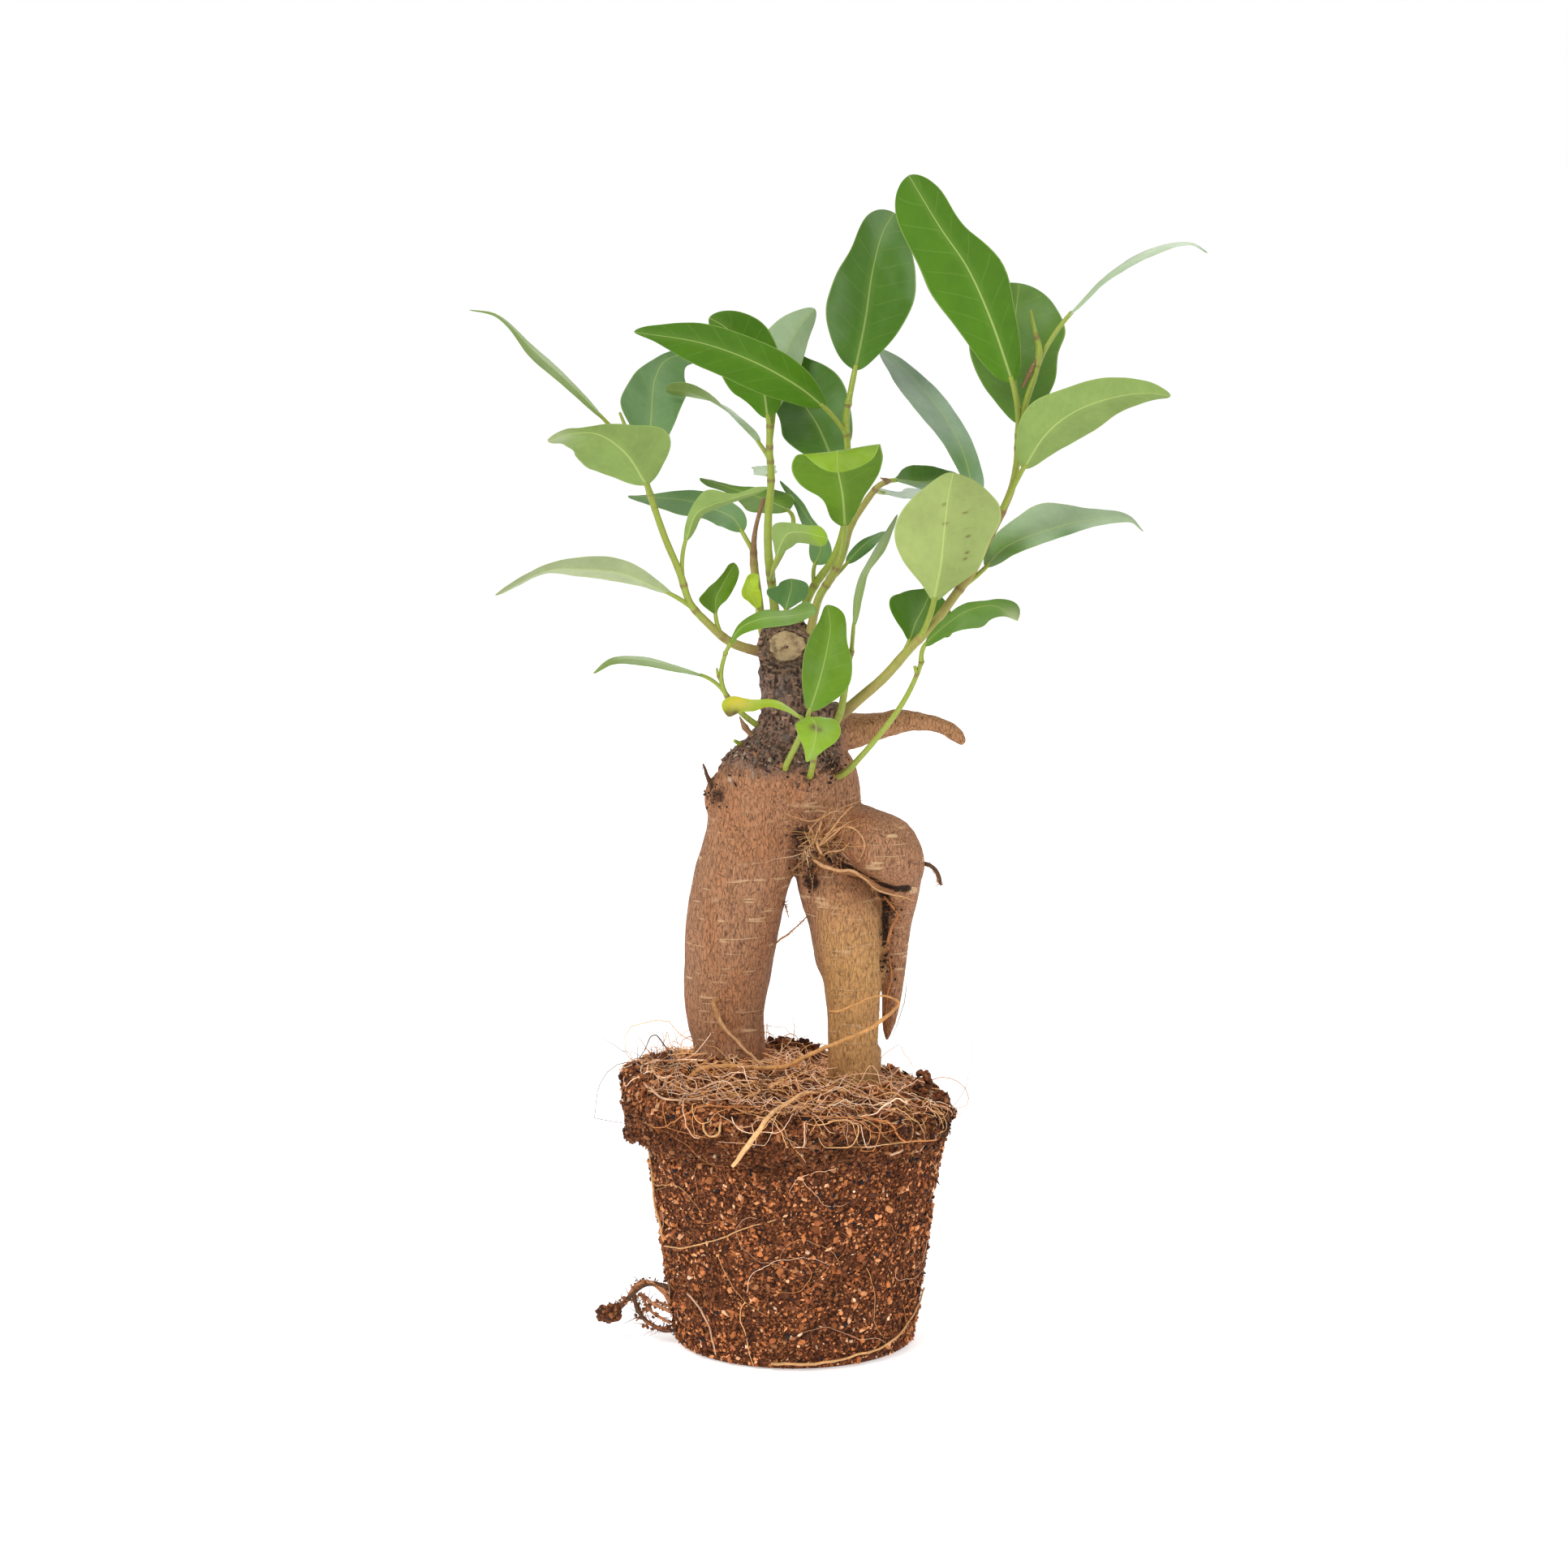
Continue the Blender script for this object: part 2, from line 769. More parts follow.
LIMBS = {
    "neck": Limb(((-3, 11, 256), (-3, 9, 248), (-3.5, 8, 238), (-4, 7, 229), (-2.5, 7, 222.5),
        (-1, 6, 217), (-0.6, 5, 213), (-1, 5, 208.7), (-3, 6, 203), (-3.8, 7, 196), (-3, 8, 187.5),
        (-1, 8, 180), (0, 8, 173)), (9.4, 9.3, 8.8, 7.9, 9, 11.5, 14, 17.5, 21.3, 23.8, 22.5, 16, 8),
        (1, 1, 1, 1, 1, 1, 0.95, 0.9, 0.82, 0.75, 0.7, 0.7, 0.7), level=True),
    "leftLeg": Limb(((-4, 6, 206), (-8, 7, 195), (-11.5, 8, 185), (-14.5, 8, 173.5), (-18, 8, 162),
        (-20.5, 9, 150.5), (-22.5, 9, 139), (-23.5, 10, 127), (-24, 11, 115.5), (-23, 12, 103.5),
        (-22.5, 12, 92), (-21.5, 12, 80.5), (-21, 12, 66)),
        (12, 18.3, 17.9, 16.8, 16.4, 16.1, 15.7, 15.1, 14.3, 12.9, 12.1, 11.2, 9.5),
        (0.85, 0.85, 0.88, 0.9, 0.92, 0.95, 0.95, 0.95, 0.95, 0.95, 1, 1, 1)),
    "rightLeg": Limb(((4, 6, 209), (8, 6, 200), (10.5, 7, 190.5), (11, 9, 180.5), (11.5, 10, 170.5),
        (12.5, 10, 161.5), (14.5, 9, 156), (17.5, 8, 149), (19, 7, 139.5), (19.5, 6, 134),
        (20.5, 5, 128.5), (21, 4, 117), (21, 3, 100), (21, 2, 83), (21.5, 2, 66)),
        (8, 12.3, 12.3, 12.3, 11.5, 11.8, 12.3, 12.9, 12.7, 12, 10.9, 9.8, 9.3, 8.9, 7.8), (1,)),
    "bulge": Limb(((13, 5, 183), (23, 1, 178), (30, -1, 174), (34.5, 0, 169), (35.5, 4, 162),
        (35.2, 9, 154.5), (34.5, 12, 146), (34.2, 13, 137.5), (34, 13.5, 128), (33.8, 13.5, 117),
        (33, 13.5, 109), (32.3, 13.5, 102.5)),
        (8, 10.4, 11.8, 10.8, 8.6, 7.3, 6.3, 5.5, 4.7, 3.5, 2.3, 0.6), (1,)),
    "innerLobe": Limb(((12, 4, 177), (16, -1, 174.5), (19.5, -1, 171.5), (21.5, 0, 169.5)),
        (4.5, 5.8, 5.3, 2.8), (1,)),
    "web": Limb(((18, 7, 170), (25, 6, 165.5), (30.5, 6, 162), (33, 7, 156)), (4.5, 4.5, 4.2, 3), (1,)),
    "horn": Limb(((13, 5, 213), (20, 8, 213), (28.5, 9, 214.5), (36.5, 11, 216), (45, 13, 215.5),
        (51.5, 14, 213.5), (56, 15, 210.5), (59, 15, 207.5)), (6.1, 5.9, 4.9, 3.8, 3.1, 2.7, 2.7, 1.4),
        (1,)),
    "branchCollar": Limb(((0.5, 4, 214), (8, 1, 217), (14, 0, 220), (17, 0, 221.5)), (7.3, 5.6, 4.2, 2.8),
        (1,)),
    "shoulderKnob": Limb(((-20, 6, 196), (-26, 4, 194), (-28, 4, 189), (-28, 5, 184)), (4.6, 4, 3, 1.8),
        (1,)),
}

TRUNK_ROOTS = (
    Strand(((-27, 3, 122), (-27.5, -4.5, 119), (-26, -4.5, 113.5), (-22.5, -4, 109)), (1, 0.9, 0.8, 0.5)),
    Strand(((7.5, -1, 168), (14, -8, 167), (22.5, -9.5, 165.5), (29.5, -8, 161), (36, -2, 158.5)),
        (0.8, 1, 0.8, 0.7, 0.6)),
    Strand(((41, 2, 168), (47, -1, 167), (49.5, -1, 164), (50.5, 0, 160.5)), (0.9, 0.8, 0.6, 0.4)),
    Strand(((-27, 3, 189), (-27.5, 1, 194), (-29.5, 1, 198), (-31.5, 2, 202)), (1, 0.9, 0.7, 0.4)),
)

BALL_ROOTS = (
    Strand(((-38, -20, 93), (-33, -9, 97.5), (-27.5, -8.5, 98.5), (-20.5, -8.5, 98.5), (-9.5, -7, 97.5),
        (-2, -9, 99), (6, -12, 104), (17, -12.5, 108.5), (28, -10.5, 113.5), (33.5, -6, 117),
        (36, -3, 119.5), (33, -6, 122.5), (29, -9, 123.5), (22.5, -10.5, 121.5), (15.5, -9.5, 118),
        (11.5, -7, 117.5)),
        (1, 1, 0.95, 0.9, 0.9, 0.85, 0.85, 0.8, 0.75, 0.6, 0.5, 0.4, 0.4, 0.4, 0.4, 0.3)),
    Strand(((-21, -54, 74.6), (-17.5, -57, 80), (-13.5, -58, 86), (-9.5, -56, 90.8), (-4, -41, 92.4),
        (3, -27, 92.8), (11.5, -19, 92.4), (20, -13, 91)), (0.6, 0.85, 0.85, 0.8, 0.7, 0.6, 0.5, 0.3)),
    Strand(((-57, 6.5, 94.5), (-49.5, -24, 94.5), (-43.5, -36, 93.5), (-37, -36, 93), (-30, -30, 93),
        (-23.5, -25, 93), (-18.5, -18, 94)), (0.4,)),
    Strand(((-30.5, -48, 89), (-30.5, -49.5, 86), (-28, -50.5, 84), (-25.5, -51.5, 85),
        (-24.5, -50.5, 89)), (0.4,)),
    Strand(((-9.5, 5, 95), (-6.5, -7.5, 93), (-2.5, -15.5, 91), (-1, -28, 89.5)), (0.4,)),
    Strand(((-44.5, -25, 39), (-37.5, -32, 40.6), (-24.6, -42, 46.6), (-15, -47, 52), (-5.6, -49, 55)),
        (0.3, 0.25, 0.2)),
    Strand(((-36.8, -29, 23.4), (-32, -32.5, 18.7), (-28.8, -33.5, 10.8), (-27.2, -34, 3)), (0.35, 0.25)),
    Strand(((-8, -42.6, 2.6), (6, -43, 2.8), (19.5, -39, 4), (32, -30, 6), (41, -16, 12), (45, -9, 20)),
        (0.5, 0.4, 0.3)),
    Strand(((32.5, -46, 76.5), (37, -40.5, 77), (42, -35, 75), (44.5, -32, 78), (41, -37, 82)), (0.4,)),
    Strand(((8.5, -25, 89), (20, -14, 89.5), (29.5, -14.5, 87.5), (37, -6, 86.5), (45, -11.5, 85),
        (50.5, -18.5, 84)), (0.4,)),
    Strand(((-38.5, -31.5, 93), (-30, -37, 92), (-22, -34, 91.5), (-15, -45, 90.5), (-7, -52, 89)),
        (0.4,)),
    Strand(((-50, -24, 93.5), (-44, -31, 93.5), (-35.5, -26, 93), (-27.5, -15, 94.5)), (0.4,)),
    Strand(((-50.5, -5, 70), (-49, -10, 60), (-48, -12, 50), (-45, -15, 38)), (0.4,)),
    Strand(((-40, -10, 19), (-45, -9, 20.5), (-51.5, -8, 21), (-56, -8, 18), (-61, -8, 12.5),
        (-65, -8, 11)), (1.1, 1, 1, 0.9, 0.8, 0.6)),
    Strand(((-56, -8, 18), (-54.5, -9, 12), (-50, -9, 6.5), (-44, -9, 4.5), (-39, -10, 6)),
        (0.8, 0.8, 0.7, 0.7, 0.7)),
)

LUMPS = (
    ((44.5, 2, 88), (3.2, 3, 7)),
    ((50.5, -3, 85), (3.2, 3.2, 3.2)),
    ((-45, 8, 95.5), (3, 3, 4.5)),
    ((-56.5, -4, 75), (2.8, 4, 4.5)),
    ((-5, 42, 93), (8, 6, 5)),
    ((3, 44, 92), (7, 5, 4.5)),
    ((-64.5, -8, 10.5), (4.4, 3, 3.2)),
)


SHOOTS = {
    "shoot_left": Shoot(stems=(
        Strand(((-6, 11, 239), (-12.5, 9, 240.5), (-22, 4, 244.4), (-30, 0, 251.7), (-35.5, -3, 258.5),
            (-39, -4, 269), (-44, -4, 281), (-48, -3, 292.5), (-50.5, -1, 300), (-55, 4, 311.5),
            (-59.5, 8, 322.5)), (2.1, 1.9, 1.6, 1.4, 1.3, 1.25, 1.2, 1.15, 1.1, 1, 0.5),
            (0.5, 0.3, 0.2, 0.25, 0.1, 0)),
    ), blades=(
        Blade(0.33, ((-42, -6, 262), (-58, -13, 270), (-71, -18, 272), (-83, -22, 272), (-100, -27, 264)),
            (3, 6, 7, 3.5, 2.5), (4, 9, 8, 5.5, 5), roll=125, fold=10, under=Tone.PALE),
        Blade(0.2, ((-27, 2, 254), (-27, 5, 259), (-25, 8, 263), (-20.5, 12.5, 270.5)),
            (9.5, 5.5, 3.5, 2.5, 2), (1, 3.5, 4, 4, 3), roll=25, fold=18, upper=Tone.FRESH),
        Blade(0.42, ((-37, -5, 280), (-33, -9, 290), (-28, -11, 293), (-22, -13, 295), (-9, -16, 299)),
            (2.5, 3, 3.5, 2.5, 1.5), (1.5, 2.5, 6, 1.5, 1.5), roll=215, fold=12),
        Blade(0.72, ((-50, -5, 299), (-57, -15, 311), (-66, -23, 317.8), (-74, -27, 318.2),
            (-82, -29.5, 316)), (8, 15.5, 8.5, 3, 2.5), (7.5, 14.5, 14.5, 12.5, 6.5), roll=150,
            marks=(Mark(0.93, 0.2, 5, Tone.PALE),)),
        Blade(0.84, ((-65, 2, 321), (-76.8, 2, 333), (-89, 4, 343.8), (-101, 6, 355.5), (-110, 6, 357.3)),
            (2.5, 4, 4.5, 2, 1.2), (2.5, 4, 4.5, 2.5, 1.2), roll=70, fold=-4, upper=Tone.LIGHT),
        Blade(0.86, ((-49.5, 8, 310), (-49, 13, 321), (-48, 19, 332.5), (-45, 24, 338.5),
            (-40, 28, 340.5), (-34.5, 31, 339)), (6, 12, 8.5, 3, 2), (6, 9.5, 12, 11.5, 5), roll=10,
            upper=Tone.MIST),
    )),
    "shoot_twig": Shoot(stems=(
        Strand(((-9, 15, 239), (-11, 17, 247), (-12.5, 16, 259), (-14, 14, 271.5), (-13.5, 13, 281.5),
            (-10.5, 12, 293)), (1.6, 1.6, 1.5, 1.4, 0.8, 0.7), (0.1, 0.2, 0.3, 0.9, 1.3, 1.3)),
    ), blades=(
        Blade(0.65, ((-18, 16, 281), (-21, 20, 285), (-29, 27, 288), (-37, 32, 290), (-58, 41, 291)),
            (6.5, 6.5, 8.5, 6.5, 3), (4, 6, 6, 3.5, 1), roll=50, upper=Tone.MIST),
        Blade(0.2, ((-12.5, 12, 255), (-14, 7, 259), (-16, 4, 262), (-15, 3, 265), (-12.5, 4.5, 267.5)),
            (1, 2, 2.5, 2, 2), (1.5, 2.5, 4, 4, 2), roll=10, fold=10, upper=Tone.LIME),
    )),
    "shoot_middle": Shoot(stems=(
        Strand(((-5, 15, 239), (-6, 17, 247), (-7.5, 14, 260.5), (-9, 10, 275), (-9, 8, 286),
            (-8, 7, 300), (-8.5, 5, 311), (-8.5, 4, 319)), (1.7, 1.7, 1.6, 1.5, 1.4, 1.3, 1.2, 1.1)),
    ), blades=(
        Blade(0.99, ((-9, 4, 321), (-11, 6, 332), (-17, 8, 343), (-23, 9, 351), (-29, 10, 354.5)),
            (5, 7.5, 10.5, 10.5, 5), (5, 10.5, 11.5, 9.5, 4.5), roll=172, under=Tone.VIVID),
        Blade(0.9, ((-7, 14, 323), (-5, 22, 336), (0, 29, 348), (7, 33, 356.5)), (3, 6.5, 7, 6, 3.5),
            (3.5, 8.5, 10, 8, 4), roll=190, under=Tone.FROST),
        Blade(0.84, ((-12, 8, 312), (-18, 10, 319), (-26, 12, 325), (-35, 13, 329), (-44, 14, 330)),
            (1.5, 4.5, 5.5, 5.5, 4), (2.5, 2, 5.5, 5.5, 4), roll=95, twist=85, upper=Tone.FROST),
        Blade(0.76, ((-9, 20, 300), (-11, 27, 301), (-13, 33, 302)), (4.5, 4, 3.5, 2.5, 2.5),
            (3.5, 4, 4.5, 5.5, 2.5), roll=60, upper=Tone.FROST),
        Blade(0.32, ((-6, 0, 274), (-4, -5, 280), (-2, -9, 283), (2, -13, 284), (11, -19, 282.5)),
            (1.5, 4, 4.5, 5, 4.5), (2.5, 6, 3.5, 2.5, 3.5), roll=185,
            marks=(Mark(0.92, 0.0, 5, Tone.BRIGHT),)),
        Blade(0.36, ((-2, 19, 288), (-8, 27, 290), (-15, 34, 292), (-23, 39, 294), (-33, 43, 297)),
            (5.5, 8.5, 6, 3, 2.5), (5.5, 6, 4, 2, 1), roll=50, upper=Tone.FRESH),
        Blade(0.12, ((-3, 8, 255), (-2, 7, 259), (-1, 6, 263), (-1, 5, 266)), (2, 7, 8, 5, 4),
            (1.5, 3.5, 5.5, 6, 5), upper=Tone.BLUE),
    )),
    "shoot_tall": Shoot(stems=(
        Strand(((0, 15, 238), (1, 17, 247), (6, 14, 261), (13.5, 12, 272.5), (17, 11, 283), (18, 9, 297),
            (18, 7, 311), (17.5, 6, 321), (18.5, 5, 327)), (1.6, 1.6, 1.5, 1.4, 1.3, 1.2, 1.2, 1.2, 1)),
    ), blades=(
        Blade(0.98, ((20.5, 8, 337), (24, 14, 353.5), (26.5, 20, 369.5), (30, 24, 382.5),
            (34, 27, 389.5)), (9.5, 15, 13.5, 9.5, 7.5), (6, 12.5, 16, 14, 8.5), roll=12),
        Blade(0.87, ((10, 0, 325), (2, -7, 332), (-13, -15, 341), (-31, -23, 348), (-53, -32, 352)),
            (4, 7.5, 7.5, 7, 4), (6.5, 11, 11.5, 9.5, 3), roll=152, under=Tone.VIVID),
        Blade(0.77, ((13, 12, 306), (8, 20, 317), (2, 28, 326), (-2, 34, 336), (-3, 38, 342)),
            (8.5, 13, 10.5, 10.5, 5.5), (8.5, 12.5, 15.5, 14.5, 7), roll=12),
        Blade(0.28, ((7, 14, 270), (9, 18, 275), (7, 22, 281), (3, 26, 287), (-5, 33, 297)),
            (4, 4, 3.5, 1.5, 1), (4, 3, 1.5, 2, 1), roll=30, upper=Tone.MIST),
    )),
    "shoot_inner": Shoot(stems=(
        Strand(((3.5, 11, 238), (5.5, 13, 247), (8.5, 7, 259.5), (12.5, 4, 266.5), (16, 2, 273.5),
            (19, 2, 284), (23.5, 2, 291.5), (28.5, 1, 298), (32, 0, 300)),
            (1.6, 1.6, 1.5, 1.5, 1.4, 1.3, 1.2, 1.1, 0.9), (0.3, 0.2, 0.4, 0.6)),
        Strand(((32, 0, 300), (30.6, -3, 300.6), (28.8, -5, 301.4)), (0.7, 0.6, 0.1), (1.3,)),
    ), blades=(
        Blade(0.99, ((34, 2, 300), (38, 8, 299), (45, 15, 298), (56, 28, 300)), (2, 6, 7, 5.5, 2),
            (3.5, 7, 7.5, 5.5, 2.5), roll=-50, fold=22),
        Blade(0.92, ((30, 10, 295), (34, 16, 294), (38, 22, 293), (48, 38, 293)), (3.5, 5.5, 3.5, 5, 3),
            (6.5, 4.5, 6, 5, 3), roll=-80, fold=3, upper=Tone.GLAZE),
        Blade(0.5, ((17, -6, 285), (16, -17, 297), (14, -27, 308), (14, -33, 312.5), (14, -38, 306)),
            (3.5, 7.5, 14, 15.5, 12), (4.5, 7, 13.5, 15, 9), roll=180, fold=3, under=Tone.FRESH,
            upper=Tone.BRIGHT),
        Blade(0.4, ((18, 8, 271), (21, 12, 274), (25, 17, 277), (32, 26, 280)), (1.5, 2, 2, 1.5, 1),
            (2, 3, 3, 2, 1), roll=-30, fold=10, upper=Tone.BLUE),
    )),
    "shoot_right": Shoot(stems=(
        Strand(((8, 2, 215), (13.5, 0, 218), (22.5, -3, 226), (30.5, -6, 233.5), (39, -8, 243.5),
            (47, -9, 252), (54.5, -8, 262), (60, -7, 269.5), (65, -6, 279.5), (70.5, -5, 290.5),
            (73.5, -5, 298), (75, -6, 306.5), (75.5, -7, 317.5), (77, -8, 324.5), (80, -8, 334),
            (82, -8, 341)),
            (2.5, 2.2, 1.9, 1.75, 1.65, 1.6, 1.6, 1.55, 1.45, 1.4, 1.3, 1.2, 1.2, 1.1, 1.1, 1),
            (0.5, 0.15, 0.1, 0.35, 0.7, 1, 0.3, 0, 0)),
        Strand(((81.5, -8, 339.5), (82, -9, 345), (80.5, -9, 351), (79, -9, 358)), (1.3, 1.2, 0.8, 0.4)),
        Strand(((76.6, -9, 332), (79, -9.4, 337.5), (81.4, -9, 342.5)), (0.4, 0.8, 0.2), (1.3,)),
    ), blades=(
        Blade(0.83, ((73, -12, 334), (65, -20, 356), (57, -25, 373), (48, -28, 386), (37.5, -30, 403)),
            (5.5, 8.5, 11, 7, 6.5), (7, 12, 16, 14.5, 11.5), roll=165, twist=-25, under=Tone.VIVID,
            wave=0.02),
        Blade(0.8, ((77, -2, 319), (75, 8, 334), (75, 17, 349), (77, 26, 365.5)),
            (6.5, 12.5, 16, 14.5, 10.5), (7, 13.5, 15, 17.5, 12), roll=8, upper=Tone.MID),
        Blade(0.99, ((92, -6, 356), (106, -4, 370), (123, -4, 379), (133, -6, 380), (138, -8, 377)),
            (4, 7, 8, 7, 4), (4, 7, 8, 7, 4), roll=275, fold=-6, under=Tone.FROST, upper=Tone.FROST),
        Blade(0.65, ((77, -10, 305), (84, -16, 317), (93, -22, 325), (105, -27, 330), (117, -32, 332),
            (124, -34, 331)), (5.5, 10.5, 11, 7, 4), (6, 11, 9, 7.5, 4), roll=205),
        Blade(0.46, ((65, -4, 271), (72, 2, 277), (86, 8, 282), (101, 14, 285), (115, 18, 285),
            (120, 18, 281)), (4.5, 9, 12, 5.5, 2.5), (4.5, 5.5, 5.5, 4, 2), roll=-52, upper=Tone.FROST,
            marks=(Mark(0.15, 0.5, 12, Tone.MID), Mark(0.5, 0.8, 7, Tone.MIST))),
        Blade(0.32, ((47, -16, 261), (49, -24, 275), (50, -29, 288), (51, -32, 298), (52.5, -33, 305.5)),
            (5, 12.5, 15.5, 18.5, 14), (4.5, 13, 16.5, 14.5, 6.5), roll=180, fold=5, under=Tone.SAGE,
            marks=SPECKS),
        Blade(0.24, ((39, -7, 246), (41, -3, 251.5), (44, 2, 256.5), (47, 7, 262.5)),
            (4.5, 13, 10.5, 8, 3), (3.5, 11, 13, 11, 6), roll=14, fold=14, upper=Tone.VIVID),
        Blade(0.55, ((62, 10, 292), (57, 20, 310), (50, 28, 322), (39, 36, 334), (30, 40, 342)),
            (3.5, 8.5, 12, 12, 7), (5, 5.5, 5.5, 5, 3.5), roll=48, fold=10, upper=Tone.GLAZE,
            marks=(Mark(0.2, -0.4, 10, Tone.MIST),)),
    )),
    "shoot_short": Shoot(stems=(
        Strand(((12, 1, 213), (15.5, -5.5, 221), (17, -7.5, 229), (18.5, -8, 239), (19.5, -8, 243)),
            (1.5, 1.4, 1.2, 1, 0.9)),
        Strand(((18.2, -8, 236), (18, -9.5, 241), (16.5, -10.5, 246)), (1, 1.1, 0.4)),
    ), blades=(
        Blade(0.98, ((20, -8, 251), (21, -9, 261), (23, -10, 268), (27, -11, 275), (34.5, -12, 289.5)),
            (1.5, 3, 4, 4.5, 2), (2.5, 3.5, 2, 3.5, 2), roll=60, upper=Tone.LIGHT),
    )),
    "shoot_low_right": Shoot(stems=(
        Strand(((13, -2, 198), (17, -7, 200.5), (22, -12, 206.5), (29, -16, 215.5), (36, -18, 225.5),
            (40, -18, 233), (43, -17, 240.5)), (1.3, 1.2, 1.1, 1, 1, 0.9, 0.8)),
        Strand(((40, -18, 233), (41, -18.5, 236), (40.5, -18.5, 239)), (0.8, 0.6, 0.6)),
    ), blades=(
        Blade(0.99, ((44, -16, 246), (50, -19, 252), (58, -23, 258), (67, -26, 260), (74.5, -28, 255.5)),
            (2.5, 3.5, 4, 2.5, 5.5), (4.5, 6.5, 9, 10.5, 2), roll=-52, upper=Tone.MID,
            marks=(Mark(0.97, 0.0, 4, Tone.PALE),)),
    )),
    "shoot_low_left": Shoot(stems=(
        Strand(((-8, 5, 213), (-13.5, 1, 216.5), (-19.5, -2, 222), (-24, -4, 228.5), (-25, -5, 235),
            (-23.5, -6, 242)), (1.3, 1.1, 1, 0.9, 0.8, 0.7)),
        Strand(((-24.6, -4.5, 231), (-26, -5, 234), (-26.5, -5, 236.5)), (0.7, 0.6, 0.4)),
        Strand(((-16.5, 3, 208.2), (-18.6, 1.5, 209.4), (-20.6, 0, 210.8)), (1, 0.9, 0.6)),
        Strand(((-14.5, -2, 212.8), (-17, -3, 216), (-18.8, -3, 219.6)), (0.9, 1.1, 0.2), (1.3,)),
    ), blades=(
        Blade(0.99, ((-22, -8, 245), (-18, -11, 251), (-12, -13, 254), (1, -16, 256),
            (7.5, -17.5, 257.5)), (1, 2, 3, 2, 4), (1.5, 3, 3.5, 3.5, 2), roll=-30, upper=Tone.FRESH),
        Blade(0.58, ((-31, -6, 234), (-40, -9, 237), (-52, -12, 240), (-62, -14, 240), (-68, -15, 236)),
            (2, 3.5, 4, 3.5, 2), (2, 3.5, 4, 3.5, 2), roll=74, fold=-3, upper=Tone.LIGHT),
    )),
    "shoot_front": Shoot(stems=(
        Strand(((-3, -7, 201), (-3, -13, 204), (0.5, -18, 212), (4, -21, 220)), (1.2, 1.1, 1.1, 1)),
        Strand(((5, -6, 199), (5.5, -13, 201.5), (6.5, -18, 209), (4, -21, 220)), (1.2, 1.1, 1.1, 1)),
    ), blades=(
        Blade(0.99, ((5, -20, 224), (8, -19, 233), (11, -17, 245), (12, -15, 252), (11, -12.5, 259)),
            (3.5, 6.5, 7.5, 6.5, 3), (5, 10, 9.5, 6, 5), roll=8, upper=Tone.FRESH),
        Blade(0.99, ((2, -22, 222), (-6, -25, 227), (-13, -27, 227.5), (-19, -29, 227),
            (-22.5, -30, 223.5)), (2, 3, 2.5, 5, 3.5), (1.5, 2, 1.5, 2.5, 6.5), roll=60, fold=5,
            upper=Tone.LIME, marks=WITHER),
        Blade(0.99, ((5, -22.5, 222), (7, -26, 220), (7, -29, 216), (6, -30, 212), (4, -29, 208)),
            (4, 8, 7.5, 3.5, 1.5), (6.5, 7, 6, 4, 1.5), fold=4, upper=Tone.BRIGHT, marks=SPOT),
    )),
}


@dataclass(frozen=True)
class LeafFinish:
    """Waxy leaf: side veins, a pale midrib, soft blotches, shinier on the upper face.

    Attributes:
        gloss: Roughness of the upper face.
        matte: What the underside adds to it.
    """

    gloss: float = 0.36
    matte: float = 0.12

    def material(self) -> bpy.types.Material:
        """Build the material.

        Returns:
            The material.
        """
        paint = Paint("leaf")
        face = paint.value("face")
        across = abs(paint.value("across"))
        vein = abs(paint.value("vein").fraction() - 0.5)
        where = paint.place()
        blotch = paint.noise(where, 9.0, 3.0)
        grain = paint.noise(where, 0.6, 2.0)
        streak = paint.noise(paint.place((1, 1, 0.5)), 1.8, 3.0)
        tint = paint.colours("tint")
        colour = paint.shade(tint, 0.7 + 0.38 * blotch + 0.22 * streak)
        sheen = paint.noise(paint.place((1, 1, 0.6)), 17.0, 2.0).rise(0.42, 0.75) * (1.0 - face)
        colour = paint.mix(colour, srgb(186, 204, 176), sheen * 0.13)
        line = paint.value("line").rise(1.25, 0.6)
        side = vein.rise(0.045, 0.01) * across.rise(0.6, 2.0) * paint.value("rim").rise(0.98, 0.8)
        near = across.rise(3.0, 0.2)
        pale = paint.mix(colour, srgb(176, 200, 112), 0.35)
        colour = paint.mix(colour, pale, side * 0.22 + near * 0.2)
        colour = paint.mix(colour, srgb(196, 214, 126), line * (0.32 + 0.16 * face))
        rim = paint.value("rim").rise(0.955, 0.995)
        colour = paint.mix(colour, srgb(186, 206, 120), rim * 0.4)
        dots = paint.cells(where, 2.6).rise(0.06, 0.035) * (1.0 - face)
        colour = paint.mix(colour, srgb(190, 206, 160), dots * 0.22)
        rough = self.gloss + self.matte * face + 0.12 * grain
        height = side * 0.3 + line * 0.8 + 0.35 * streak + 0.15 * grain
        normal = paint.bump(height, 0.45, 0.14)
        wax = {"Specular_IOR_Level": 0.22, "Coat_Weight": 0.05, "Coat_Roughness": 0.25}
        return paint.finish(colour, rough, normal, **wax)


